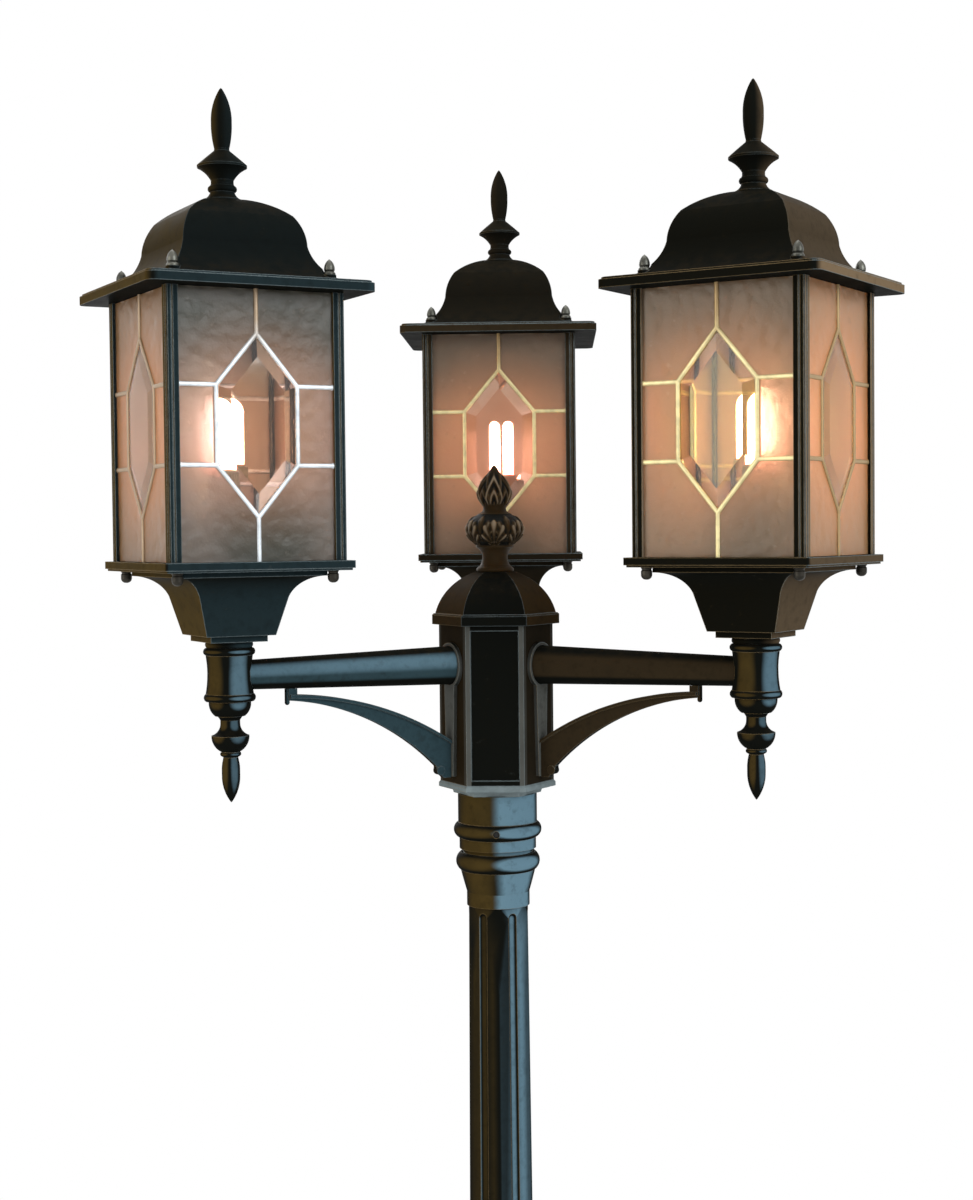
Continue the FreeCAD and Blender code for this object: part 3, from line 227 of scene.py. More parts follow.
class Paint:
    """A material and the few nodes that every finish here is built from."""

    def __init__(self, name):
        self.material = bpy.data.materials.new(name)
        self.material.use_nodes = True
        self.tree = self.material.node_tree
        self.tree.nodes.clear()

    def node(self, kind, settings=None, inputs=None, output=0):
        sockets = {key: value.socket if isinstance(value, Value) else value
                   for key, value in (inputs or {}).items()}
        made = add_node(self.tree, kind, settings, sockets)
        return Value(self, made.outputs[output]) if made.outputs else None

    def place(self):
        return self.node("ShaderNodeTexCoord", output="Object")

    def noise(self, scale, detail=4.0, roughness=0.55, stretch=(1, 1, 1)):
        where = self.node("ShaderNodeMapping", {}, {"Vector": self.place(), "Scale": stretch})
        return self.node("ShaderNodeTexNoise", {},
                         {"Vector": where, "Scale": scale, "Detail": detail,
                          "Roughness": roughness})

    def cells(self, scale, shift=(0.0, 0.0, 0.0)):
        where = self.node("ShaderNodeMapping", {}, {"Vector": self.place(), "Location": shift})
        return self.node("ShaderNodeTexVoronoi", {"feature": "SMOOTH_F1"},
                         {"Vector": where, "Scale": scale})

    def blend(self, factor, first, second):
        """Goes from one colour to another; each is a socket or a picked shade."""
        first, second = (shade if isinstance(shade, Value) else linear(shade)
                         for shade in (first, second))
        return self.node("ShaderNodeMix", {"data_type": "RGBA"}, {0: factor, 6: first, 7: second},
                         output=2)

    def normal(self):
        return self.node("ShaderNodeNewGeometry", output="Normal")

    def part(self, vector, axis):
        return self.node("ShaderNodeSeparateXYZ", {}, {0: vector}, output=axis)

    def along(self, vector, direction):
        """How far a vector reaches in a direction."""
        return self.node("ShaderNodeVectorMath", {"operation": "DOT_PRODUCT"},
                         {0: vector, 1: direction}, output="Value")

    def distance(self, point):
        """How far the shaded place is from a point."""
        return self.node("ShaderNodeVectorMath", {"operation": "DISTANCE"},
                         {0: self.place(), 1: point}, output="Value")

    def bump(self, height, strength, distance, normal=None):
        inputs = {"Height": height, "Strength": strength, "Distance": distance}
        if normal is not None:
            inputs["Normal"] = normal
        return self.node("ShaderNodeBump", {}, inputs)

    def finish(self, **inputs):
        """Ends the material in one principled shader; names are its sockets' names."""
        named = {key.replace("_", " "): value for key, value in inputs.items()}
        shader = self.node("ShaderNodeBsdfPrincipled", {}, named)
        self.node("ShaderNodeOutputMaterial", {}, {"Surface": shader})
        return self.material


# ---- finishes ----
def antique_paint(name, warm_lit_tint, cool_lit_tint, warmth=1.0, coolness=1.0,
                  warm_lit_side=(-1.0, 0.0, 0.0), cool_lit_side=(1.0, 0.0, 0.0), reach=(0.0, 0.9),
                  rubbed=0.75, framed=False):
    """Dark antique paint: painted light and shade by the way a face turns, rubbed edges that are
    pale as wear and as a painted highlight, and a fine cast grain.
    """
    palette = colours()
    paint = Paint(name)
    cloud = paint.noise(28.0, 5.0, 0.6)
    blotch = paint.noise(95.0, 4.0, 0.65)
    grain = paint.noise(900.0, 3.0, 0.6)
    facing = paint.normal()
    up = paint.part(facing, "Z")
    rounded = paint.node("ShaderNodeBevel", {"samples": 4}, {"Radius": sizes().edge_round})
    same = paint.along(rounded, facing)
    # Rubbed edges: pale as wear and as a painted highlight.
    edge = ((1.0 - same) * 5.0 + (blotch - 0.5) * 0.6).within(0.08, 0.5)
    # Painted light: faces turned to one side take the warm-lit tint, faces turned to the other the
    # cool-lit tint, and the rest stays deep paint.
    warm = paint.along(facing, warm_lit_side).within(*reach) * (0.45 + cloud) * warmth
    cool = paint.along(facing, cool_lit_side).within(*reach) * (0.35 + blotch * 1.1) * coolness
    dust = up.within(0.3, 0.95) * blotch.within(0.35, 0.75) * 0.3
    base = paint.blend(warm.limited(), palette.deep, warm_lit_tint)
    base = paint.blend(cool.limited(), base, cool_lit_tint)
    base = paint.blend(dust, base, palette.umber)
    base = paint.blend(blotch.within(0.5, 0.75) * 0.35, base, palette.black)
    if framed:
        # Painted light: the pewter strips show more strongly on faces turned to the front than on
        # the sides.
        front = paint.along(facing, (0.0, -1.0, 0.0)).within(0.5, 0.95)
        strips = hub_frame(paint, facing, up) * (0.35 + front * 0.65)
        base = paint.blend(strips * (0.6 + cloud * 0.6).limited(), base, palette.pewter)
        band = (paint.part(paint.place(), "Z") - HUB_LOW.z - sizes().hub_band)
        base = paint.blend((1.0 - band.within(0.0, 1.0 * MM)) * (0.45 + blotch * 0.7), base,
                           palette.rub)
    # Painted light: on faces turned to the warm side the rubbed edges take old gold.
    warm_lit_facing = paint.along(facing, warm_lit_side).within(0.0, 0.6)
    edge_wear_and_light = paint.blend(warm_lit_facing, palette.rub, palette.old_gold_light)
    base = paint.blend((edge * rubbed).limited(), base, edge_wear_and_light)
    relief = paint.bump(grain * 0.6 + blotch * 0.4, 0.25, 0.4 * MM, rounded)
    rough = 0.46 + (cloud - 0.5) * 0.25 + (grain - 0.5) * 0.1
    return paint.finish(Base_Color=base, Roughness=rough, Metallic=edge * 0.45,
                        Specular_IOR_Level=0.002, Normal=relief)


def hub_frame(paint, facing, up):
    """1 on the upright strips on both sides of the hub's sunk panels, 0 elsewhere."""
    where = paint.place()
    sideways = (paint.part(where, "Y") * paint.part(facing, "X")
                - paint.part(where, "X") * paint.part(facing, "Y"))
    strip = (sideways * sideways) ** 0.5 - sizes().panel_half
    return strip.within(0.0, 0.4 * MM) * (1.0 - (up * up).within(0.02, 0.06))


def carved_finish(name):
    """Bronze brown that is dark in the cuts and rubbed pale on the leaf tips and the rims."""
    palette = colours()
    paint = Paint(name)
    relief = paint.node("ShaderNodeAttribute", {"attribute_name": "relief"}, output="Fac")
    cloud = paint.noise(70.0, 4.0, 0.6)
    grain = paint.noise(700.0, 3.0, 0.6)
    rounded = paint.node("ShaderNodeBevel", {"samples": 4}, {"Radius": sizes().edge_round})
    rim = (1.0 - paint.along(rounded, paint.normal())).within(0.03, 0.12)
    tips = ((relief - 0.5) * 1.3 + (cloud - 0.5) * 0.5).within(0.05, 0.55)
    base = paint.blend(relief.within(0.1, 0.6), palette.deep, palette.bronze)
    base = paint.blend((tips * 0.9 + rim * 0.5).limited(), base, palette.carving)
    bumps = paint.bump(grain, 0.25, 0.4 * MM)
    return paint.finish(Base_Color=base, Roughness=0.42 + cloud * 0.15, Metallic=tips * 0.4,
                        Specular_IOR_Level=0.04, Normal=bumps)


def head_place(head, height=0.0, further=0.0):
    """A place on a head's upright axis, or further out along its arm."""
    angle = math.radians(HEAD_ANGLES[head])
    reach = ARM_REACH + further
    return Vector((reach * math.cos(angle), reach * math.sin(angle), height))


def outermost(paint, head):
    """1 on the side of a lantern that is furthest from the post, 0 on its other sides."""
    direction = head_place(head).normalized()
    reach = paint.along(paint.place(), tuple(direction)) - ARM_REACH
    return reach.within(PANE_INNER - 4.0 * MM, PANE_INNER - 1.0 * MM)


ROOF_SHADE = (EAVE_BOTTOM - 110.0 * MM, EAVE_BOTTOM - 15.0 * MM)
TRAY_SHADE = (TRAY_TOP, TRAY_TOP + 70.0 * MM)
HOLDER_MIDDLE = TRAY_TOP + 22.0 * MM
LAMP_MIDDLE = (TUBES_LOW.z + TUBES_HIGH.z) / 2
GLOW_REACH = (76.0 * MM, 145.0 * MM)


def hammered_glass_finish(name, head, tint, gold, shade, shadow_out):
    """Tinted rough glass with hammer marks: painted shade near the roof, tray and holder, painted
    light and shade on the marks, and a painted glow near the lamp.
    """
    palette = colours()
    paint = Paint(name)
    scale = 0.9 / sizes().hammer_pitch
    cloud = paint.noise(14.0, 4.0, 0.55)
    ripple = paint.noise(240.0, 3.0, 0.6)
    dimple = paint.cells(scale)
    lifted = paint.cells(scale, shift=(0.0, 0.0, -0.2 * sizes().hammer_pitch))
    height = paint.part(paint.place(), "Z")
    # Painted shade: darker under the roof, a little over the tray, and round the holder.
    painted_roof_shade = height.within(*ROOF_SHADE)
    painted_tray_shade = 1.0 - height.within(*TRAY_SHADE)
    shaded = (painted_roof_shade + painted_tray_shade * 0.2) * (0.35 + cloud * 1.1)
    holder = head_place(head, HOLDER_MIDDLE, shadow_out)
    shadow = 1.0 - paint.distance(holder).within(PANE_INNER, sizes().holder_shadow)
    shaded = ((shaded + shadow * 0.9) * shade).limited()
    base = paint.blend(shaded, tint, palette.shade_glass)
    # Painted light: the outermost side takes the golden tint.
    base = paint.blend(outermost(paint, head) * 0.9, base, gold)
    # Painted light and shade on the hammer marks: pale on one side of each dimple, shaded grey
    # green on the other.
    marks = (dimple - lifted).within(0.1, 0.24) * ripple.within(0.4, 0.6)
    painted_hollow_shade = (lifted - dimple).within(0.08, 0.26)
    base = paint.blend(painted_hollow_shade * 0.3, base, palette.shade_glass)
    base = paint.blend(marks * 0.42, base, palette.spark)
    # Painted glow: the glass glows warm near the lamp, though it is no lamp.
    near = 1.0 - paint.distance(head_place(head, LAMP_MIDDLE)).within(*GLOW_REACH)
    glow = paint.blend(near * (0.6 + cloud * 0.6), (0.0, 0.0, 0.0), palette.glow)
    relief = paint.bump(dimple * 0.7 + ripple * 0.3, 0.9, 1.4 * MM)
    return paint.finish(Base_Color=base, Roughness=0.32 + ripple * 0.08,
                        Transmission_Weight=0.58, IOR=1.45, Specular_IOR_Level=0.25, Normal=relief,
                        Emission_Color=glow, Emission_Strength=0.15)


def clear_glass_finish(name, head, clear, gold):
    """Flat glass with a tan cast, a painted reflection on the slanted facets, and a frosted
    outermost side in a painted golden light.
    """
    palette = colours()
    paint = Paint(name)
    film = paint.noise(40.0, 3.0)
    slant = paint.part(paint.normal(), "Z")
    # Painted reflection: the slanted facets are paler.
    slanted = (slant * slant).within(0.002, 0.02)
    tint = paint.blend(slanted, clear, palette.bevel)
    tint = paint.blend(film * 0.2, tint, gold)
    # The outermost side is frosted, and painted golden: painted light.
    frosted = outermost(paint, head)
    tint = paint.blend(frosted * 0.7, tint, gold)
    relief = paint.bump(paint.noise(30.0, 2.0), 0.05, 1.0 * MM)
    return paint.finish(Base_Color=tint, Roughness=0.02 + film * 0.05 + frosted * 0.28,
                        Transmission_Weight=1.0, IOR=1.5, Normal=relief)


def lead_finish(name, head, lit_lead):
    """Tinned lead with a soft sheen in a painted light, with painted shade under the roof and on
    the outermost side.
    """
    paint = Paint(name)
    cloud = paint.noise(70.0, 4.0, 0.6)
    pits = paint.noise(600.0, 3.0, 0.6)
    height = paint.part(paint.place(), "Z")
    painted_roof_shade = height.within(EAVE_BOTTOM - 65.0 * MM, EAVE_BOTTOM - 20.0 * MM)
    worn = tuple(channel * 0.8 for channel in lit_lead)
    base = paint.blend(cloud.within(0.35, 0.7) * 0.7, lit_lead, worn)
    # Painted shade: darker under the roof and on the outermost side.
    painted_lead_shade = (outermost(paint, head) + painted_roof_shade).limited() * 0.88
    base = paint.blend(painted_lead_shade, base, colours().shaded_lead)
    relief = paint.bump(cloud * 0.5 + pits * 0.5, 0.12, 0.3 * MM)
    return paint.finish(Base_Color=base, Metallic=0.45, Roughness=0.38 + pits * 0.12,
                        Normal=relief)


def steel_finish(name, shade, rough, metallic=1.0):
    paint = Paint(name)
    brushed = paint.noise(320.0, 4.0, 0.6, (1, 1, 0.2))
    stain = paint.noise(60.0, 4.0, 0.6)
    worn = tuple(min(1.0, channel * 1.5 + 0.05) for channel in shade)
    base = paint.blend(stain.within(0.35, 0.7) * 0.6, shade, worn)
    relief = paint.bump(brushed, 0.15, 0.2 * MM)
    return paint.finish(Base_Color=base, Metallic=metallic, Roughness=rough + brushed * 0.15,
                        Normal=relief)


def plain_finish(name, shade, rough, grain_scale=500.0, stain_depth=0.12, coat=0.0):
    """Porcelain, plastic and rubber: a colour with faint staining and a fine grain."""
    paint = Paint(name)
    stain = paint.noise(45.0, 4.0, 0.6)
    grain = paint.noise(grain_scale, 3.0, 0.5)
    soiled = tuple(channel * (1.0 - stain_depth) for channel in shade)
    base = paint.blend(stain.within(0.35, 0.7), shade, soiled)
    relief = paint.bump(grain, 0.12, 0.2 * MM)
    return paint.finish(Base_Color=base, Roughness=rough + grain * 0.08, Normal=relief,
                        Coat_Weight=coat)


TUBE_LIGHT = 26.0
TUBE_FOOT = 14.0 * MM


def lit_tube_finish(name):
    """Lit phosphor: white, and redder towards the tubes' feet."""
    palette = colours()
    paint = Paint(name)
    height = paint.part(paint.place(), "Z")
    lit = (height - TUBES_LOW.z).within(0.0, TUBE_FOOT)
    phosphor = paint.noise(120.0, 3.0)
    light = paint.blend(lit, (1.0, 0.55, 0.5), palette.lamp)
    light = paint.blend(phosphor.within(0.4, 0.9) * 0.2, light, (1.0, 0.95, 0.95))
    return paint.finish(Base_Color=(0.9, 0.88, 0.86, 1.0), Roughness=0.2 + phosphor * 0.1,
                        Emission_Color=light, Emission_Strength=TUBE_LIGHT)


# ---- shared mesh helpers ----
def placed(name, data):
    """A new object for the data, linked into the scene."""
    made = bpy.data.objects.new(name, data)
    bpy.context.collection.objects.link(made)
    return made


def paint_node(name, material):
    """Gives a CAD node's own material slots a better material."""
    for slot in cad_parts[name].material_slots:
        slot.material = material


def head_matrix(head):
    return (Matrix.Rotation(math.radians(HEAD_ANGLES[head]), 4, "Z")
            @ Matrix.Translation((ARM_REACH, 0.0, 0.0)))


def new_piece(name, bm, material, smooth=True):
    """A finished object at the origin from a bmesh that holds its place."""
    mesh = bpy.data.meshes.new(name)
    bm.to_mesh(mesh)
    bm.free()
    mesh.materials.append(material)
    if smooth:
        mesh.shade_smooth()
    return placed(name, mesh)


def sharpen(piece, degrees):
    """Smooth shading that stays crisp over edges steeper than the angle."""
    piece.data.set_sharp_from_angle(angle=math.radians(degrees))


def merged_copy(node):
    """A CAD node's mesh as one closed bmesh with its flat faces whole again."""
    bm = bmesh.new()
    bm.from_mesh(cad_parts[node].data)
    bmesh.ops.remove_doubles(bm, verts=bm.verts, dist=1e-6)
    bmesh.ops.dissolve_limit(bm, angle_limit=math.radians(0.2), verts=bm.verts, edges=bm.edges)
    return bm


def copied_to_heads(bm, head):
    copy = bm.copy()
    bmesh.ops.transform(copy, matrix=head_matrix(head), verts=copy.verts)
    return copy


def nodes_tree(name, inputs):
    """An empty geometry tree, and the sockets of its geometry, named sizes and material."""
    tree = bpy.data.node_groups.new(name, "GeometryNodeTree")
    tree.interface.new_socket("Geometry", in_out="OUTPUT", socket_type="NodeSocketGeometry")
    kinds = {"Geometry": "NodeSocketGeometry", **inputs, "Material": "NodeSocketMaterial"}
    for label, kind in kinds.items():
        tree.interface.new_socket(label, in_out="INPUT", socket_type=kind)
    return tree, tree.nodes.new("NodeGroupInput").outputs


def close_tree(tree, entry, instances):
    """Ends a geometry tree: its instances are made real and given the material."""
    real = add_node(tree, "GeometryNodeRealizeInstances", {}, {0: instances.outputs[0]})
    painted = add_node(tree, "GeometryNodeSetMaterial", {},
                       {"Geometry": real.outputs[0], "Material": entry["Material"]})
    add_node(tree, "NodeGroupOutput", {}, {0: painted.outputs[0]})
    return tree


def grown(name, start, tree, values, material):
    """Runs a geometry tree on a start mesh and keeps the result as a plain mesh."""
    carrier = placed(name, start)
    modifier = carrier.modifiers.new("Grow", "NODES")
    modifier.node_group = tree
    sockets = {item.name: item.identifier for item in tree.interface.items_tree
               if item.in_out == "INPUT"}
    for label, value in values.items():
        modifier[sockets[label]] = value
    modifier[sockets["Material"]] = material
    graph = bpy.context.evaluated_depsgraph_get()
    mesh = bpy.data.meshes.new_from_object(carrier.evaluated_get(graph))
    carrier.modifiers.remove(modifier)
    bpy.data.objects.remove(carrier)
    return mesh


# ---- lead lines ----
def diamond_corners():
    chosen = sizes()
    w, h, s = chosen.diamond_half_width, chosen.diamond_half_height, chosen.diamond_side_half
    return [(x, PANE_MIDDLE + z) for x, z in ((0, h), (w, s), (w, -s), (0, -h), (-w, -s), (-w, s))]


def lead_lines():
    corners = diamond_corners()
    edge = LEAD_REACH
    lines = [(corners[i], corners[(i + 1) % 6]) for i in range(6)]
    lines.append((corners[0], (0.0, EAVE_BOTTOM)))
    lines.append(((0.0, TRAY_TOP), corners[3]))
    for index in (1, 2, 4, 5):
        x, z = corners[index]
        lines.append(((x, z), (math.copysign(edge, x), z)))
    return lines


def lead_profile():
    """Half of the section is a rounded leaf over the glass, and a thin heart joins the two."""
    chosen = sizes()
    half = chosen.lead_width / 2
    heart = chosen.lead_heart / 2
    rise = chosen.lead_rise
    rise_side = [(-1.0, 0.0), (-0.96, 0.38), (-0.72, 0.78), (-0.38, 0.96)]
    crown = rise_side + [(0.0, 1.0)] + [(-x, y) for x, y in reversed(rise_side)]
    front = [(half * x, PANE_OUTER + LEAD_GAP + rise * y) for x, y in crown]
    back = [(-half * x, PANE_INNER - LEAD_GAP - rise * 0.75 * y) for x, y in crown]
    return (front + [(heart, PANE_OUTER + LEAD_GAP), (heart, PANE_INNER - LEAD_GAP)]
            + back + [(-heart, PANE_INNER - LEAD_GAP), (-heart, PANE_OUTER + LEAD_GAP)])


def add_bar(bm, start, end, section):
    """Sweeps the lead's section from one joint to the next, in the plane of the pane."""
    along = Vector((end[0] - start[0], end[1] - start[1])).normalized()
    across = Vector((-along.y, along.x))
    rings = []
    for x, z in (start, end):
        rings.append([bm.verts.new((x + across.x * t, y, z + across.y * t)) for t, y in section])
    count = len(section)
    for i in range(count):
        j = (i + 1) % count
        bm.faces.new((rings[0][i], rings[1][i], rings[1][j], rings[0][j]))
    bm.faces.new(rings[0])
    bm.faces.new(list(reversed(rings[1])))


def solder_tree():
    """A flattened drop of solder on every joint, turned to lie on its pane."""
    tree, entry = nodes_tree("Solder", {"Radius": "NodeSocketFloat",
                                        "Flatness": "NodeSocketFloat"})
    add = functools.partial(add_node, tree)
    drop = add("GeometryNodeMeshUVSphere", {},
               {"Segments": 14, "Rings": 8, "Radius": entry["Radius"]})
    points = add("GeometryNodeMeshToPoints", {}, {"Mesh": entry["Geometry"]})
    outward = add("GeometryNodeInputNamedAttribute", {"data_type": "FLOAT_VECTOR"},
                  {"Name": "outward"})
    turn = add("FunctionNodeAlignRotationToVector", {"axis": "Z"},
               {"Vector": outward.outputs["Attribute"]})
    # Sockets 2 and 3 are the least and the most that a drop is scaled by.
    spread = add("FunctionNodeRandomValue", {"data_type": "FLOAT"}, {2: 0.85, 3: 1.12, "Seed": 7})
    shape = add("ShaderNodeCombineXYZ", {}, {"X": 1.0, "Y": 1.0, "Z": entry["Flatness"]})
    scale = add("ShaderNodeVectorMath", {"operation": "SCALE"},
                {0: shape.outputs[0], "Scale": spread.outputs[1]})
    place = add("GeometryNodeInstanceOnPoints", {},
                {"Points": points.outputs[0], "Instance": drop.outputs[0],
                 "Rotation": turn.outputs[0], "Scale": scale.outputs[0]})
    return close_tree(tree, entry, place)


def joint_points():
    """Every joint of the tracery on all four sides, front and back, with its outward normal."""
    corners = diamond_corners()
    joints = corners + [(math.copysign(LEAD_REACH, corners[i][0]), corners[i][1])
                        for i in (1, 2, 4, 5)]
    places, outwards = [], []
    for turn in QUARTER_TURNS:
        for x, z in joints:
            for depth in (PANE_OUTER, PANE_INNER):
                places.append(turn @ Vector((x, depth, z)))
                outwards.append(turn @ Vector((0, 1, 0)))
    mesh = bpy.data.meshes.new("joints")
    mesh.from_pydata(places, [], [])
    data = mesh.attributes.new("outward", "FLOAT_VECTOR", "POINT").data
    for item, vector in zip(data, outwards):
        item.vector = vector
    return mesh


class LAMPPOST_OT_lead_lines(bpy.types.Operator):
    """Rounded lead lines with solder at every joint"""
    bl_idname = "lamppost.lead_lines"
    bl_label = "Lead lines"

    def execute(self, context):
        chosen = sizes()
        palette = colours()
        # One tinned lead in painted light: silver on the left head, golden on the others.
        lit_leads = {"left": palette.silver_lead, "right": palette.gold_lead,
                   "back": palette.gold_lead}
        finishes = {head: lead_finish(head + "_lead", head, lit_lead)
                    for head, lit_lead in lit_leads.items()}
        pattern = bmesh.new()
        section = lead_profile()
        for start, end in lead_lines():
            add_bar(pattern, start, end, section)
        bmesh.ops.recalc_face_normals(pattern, faces=pattern.faces)
        whole = bmesh.new()
        for turn in QUARTER_TURNS:
            turned = pattern.copy()
            bmesh.ops.rotate(turned, cent=(0, 0, 0), verts=turned.verts, matrix=turn)
            add_mesh(whole, turned)
        pattern.free()
        solder = grown("solder", joint_points(), solder_tree(),
                       {"Radius": chosen.solder_radius,
                        "Flatness": chosen.solder_rise / chosen.solder_radius},
                       finishes["left"])
        whole.from_mesh(solder)
        for head in HEAD_ANGLES:
            piece = new_piece(head + "_lead_lines", copied_to_heads(whole, head), finishes[head])
            sharpen(piece, 50)
            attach(piece, "root")
            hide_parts(head + "_came")
        whole.free()
        return {"FINISHED"}


def add_mesh(whole, extra):
    """Joins one bmesh into another and frees it."""
    mesh = bpy.data.meshes.new("part")
    extra.to_mesh(mesh)
    extra.free()
    whole.from_mesh(mesh)
    bpy.data.meshes.remove(mesh)


# ---- hammered glass ----
def grid_cut(bm, step):
    """Cuts the panes' flat faces into a grid, so that they can be dimpled."""
    steps = int((PANE_INNER - 1.0 * MM) / step)
    rows = int((EAVE_BOTTOM - TRAY_TOP) / step)
    sideways = [i * step for i in range(-steps, steps + 1)]
    cuts = [((place, 0, 0), (1, 0, 0)) for place in sideways]
    cuts += [((0, place, 0), (0, 1, 0)) for place in sideways]
    cuts += [((0, 0, TRAY_TOP + i * step), (0, 0, 1)) for i in range(1, rows + 1)]
    for place, normal in cuts:
        geometry = bm.verts[:] + bm.edges[:] + bm.faces[:]
        bmesh.ops.bisect_plane(bm, geom=geometry, plane_co=place, plane_no=normal, dist=1e-7)


def dimple_height(point, seed):
    """Shallow overlapping dimples, as rolled hammered glass has."""
    pitch = sizes().hammer_pitch
    where = point / pitch + Vector((seed, seed * 0.37, 0.0))
    distances, _ = noise.voronoi(where)
    hollow = min(1.0, distances[0] * 1.25)
    ripple = noise.noise(where * 2.3)
    return (hollow - 0.6) * 0.8 + ripple * 0.25


class LAMPPOST_OT_hammered_glass(bpy.types.Operator):
    """Hammered tinted panes with real dimples on their outer face"""
    bl_idname = "lamppost.hammered_glass"
    bl_label = "Hammered glass"

    def execute(self, context):
        chosen = sizes()
        palette = colours()
        # Each head's painted light: its glass tint, the gold of its outermost side, how strong its
        # painted shade is, and how far out along the arm the holder's painted shadow sits.
        painted_head_light = {"left": (palette.left_glass, palette.left_gold, 1.0, -8.0 * MM),
                 "right": (palette.right_glass, palette.right_gold, 0.45, 35.0 * MM),
                 "back": (palette.back_glass, palette.left_gold, 0.6, 0.0)}
        cut = merged_copy("back_textured_glass")
        bmesh.ops.transform(cut, matrix=head_matrix("back").inverted(), verts=cut.verts)
        grid_cut(cut, chosen.hammer_grid)
        for seed, head in enumerate(HEAD_ANGLES):
            panes = cut.copy()
            for vert in panes.verts:
                x, y = vert.co.x, vert.co.y
                flat = max(abs(x), abs(y)) > PANE_OUTER - TOUCH
                rim = any(abs(face.normal.x) < 0.9 and abs(face.normal.y) < 0.9
                          for face in vert.link_faces)
                if flat and not rim:
                    out = Vector((math.copysign(1, x), 0, 0)) if abs(x) > abs(y) else \
                        Vector((0, math.copysign(1, y), 0))
                    vert.co += out * chosen.hammer_depth * dimple_height(vert.co, 5.0 * seed)
            bmesh.ops.transform(panes, matrix=head_matrix(head), verts=panes.verts)
            finish = hammered_glass_finish(head + "_hammered", head, *painted_head_light[head])
            piece = new_piece(head + "_hammered_glass", panes, finish)
            sharpen(piece, 40)
            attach(piece, "root")
            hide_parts(head + "_textured_glass")
        cut.free()
        return {"FINISHED"}


class LAMPPOST_OT_clear_glass(bpy.types.Operator):
    """Clear bevelled hexagons in the middle of every side"""
    bl_idname = "lamppost.clear_glass"
    bl_label = "Clear glass"

    def execute(self, context):
        palette = colours()
        # Each head's clear tint and outermost gold: painted light, as it falls on each head.
        tints = {"left": (palette.left_clear, palette.left_gold),
                 "right": (palette.right_clear, palette.right_gold),
                 "back": (palette.back_clear, palette.back_glass)}
        for head, (clear, gold) in tints.items():
            finish = clear_glass_finish(head + "_clear", head, clear, gold)
            paint_node(head + "_clear_glass", finish)
        return {"FINISHED"}


# ---- hub finial ----
def leaf_shape(across, along):
    """Relief of one leaf: lobes that spread like a fan from its foot, with cuts between them."""
    side = across * 0.40
    reach = math.hypot(side, along)
    turn = math.atan2(side, along + 0.04)
    lobe = abs(math.cos(turn * 9.0))
    limit = (0.98 - 0.42 * (abs(turn) / 0.7) ** 1.4) * (0.80 + 0.20 * lobe)
    if along <= 0.0 or reach >= limit:
        return 0.0
    tip = min(1.0, (limit - reach) / 0.07)
    return tip * (0.15 + 0.85 * lobe ** 1.4) * (0.45 + 0.55 * reach / limit)


def inside_petal(across, along, scale):
    """Whether a place lies in a pointed petal that is drawn smaller by a scale."""
    up = along / scale
    if up >= 1.0:
        return False
    return abs(across) < scale * (1.0 - up) ** 0.65 * min(1.0, 0.72 + up)


def petal_shape(across, along):
    """Relief of pointed arches nested in one another, with a boss in the smallest one."""
    if along <= 0.0 or not inside_petal(across, along, 1.0):
        return 0.0
    low, high = 0.02, 1.0
    for _ in range(9):
        middle = (low + high) / 2
        if inside_petal(across, along, middle):
            high = middle
        else:
            low = middle
    return 0.5 + 0.5 * math.cos(2 * math.pi * 2.55 * high)


def sector(angle, count, between=False):
    """Where an angle lies in its own repeat, from -1 to 1; one repeat faces the front."""
    width = 2 * math.pi / count
    start = math.pi / 2 + (0.0 if between else width / 2)
    return 2.0 * (((angle + start) / width) % 1.0) - 1.0


class LAMPPOST_OT_hub_finial(bpy.types.Operator):
    """Hub finial with leaves carved on its ball and petals on its bud"""
    bl_idname = "lamppost.hub_finial"
    bl_label = "Hub finial"

    def execute(self, context):
        chosen = sizes()
        foot = CAP_HIGH.z
        profile = finial_profile()
        segments = 144
        bm = bmesh.new()
        shade = bm.verts.layers.float.new("relief")
        rings = []
        for radius, height in profile:
            ring = []
            for i in range(segments):
                angle = 2 * math.pi * i / segments
                relief = carved(angle, height, chosen)
                out = radius + chosen.leaf_relief * (relief - 0.5)
                vert = bm.verts.new((out * math.cos(angle), out * math.sin(angle), foot + height))
                vert[shade] = relief
                ring.append(vert)
            rings.append(ring)
        for low, high in zip(rings, rings[1:]):
            for i in range(segments):
                j = (i + 1) % segments
                bm.faces.new((low[i], low[j], high[j], high[i]))
        bm.faces.new(list(reversed(rings[0])))
        bm.faces.new(rings[-1])
        piece = new_piece("hub_finial_carved", bm, carved_finish("bronze_carving"))
        sharpen(piece, 75)
        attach(piece, "cap")
        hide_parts("hub_finial")
        return {"FINISHED"}


BALL = (26.0 * MM, 58.5 * MM)
BUD = (66.0 * MM, 105.0 * MM)


def carved(angle, height, chosen):
    """Relief of the carving at an angle and a height over the foot: 0 in the cuts, 1 on top."""
    if BALL[0] < height < BALL[1]:
        along = (height - BALL[0]) / (BALL[1] - BALL[0])
        low_row = leaf_shape(sector(angle, chosen.leaf_count), along / 0.86)
        high_row = leaf_shape(sector(angle, chosen.leaf_count, True), (along - 0.12) / 0.86)
        ends = min(1.0, along / 0.06, (1.0 - along) / 0.05)
        return 0.5 + (max(low_row, high_row * 0.75) - 0.5) * ends
    if BUD[0] < height < BUD[1]:
        along = (height - BUD[0]) / (BUD[1] - BUD[0])
        front = petal_shape(sector(angle, chosen.petal_count), along * 1.08)
        behind = petal_shape(sector(angle, chosen.petal_count, True), along) * 0.7
        ends = min(1.0, along / 0.08, (1.0 - along) * 3.5)
        return 0.5 + (max(front, behind) - 0.5) * ends * 0.8
    return 0.5


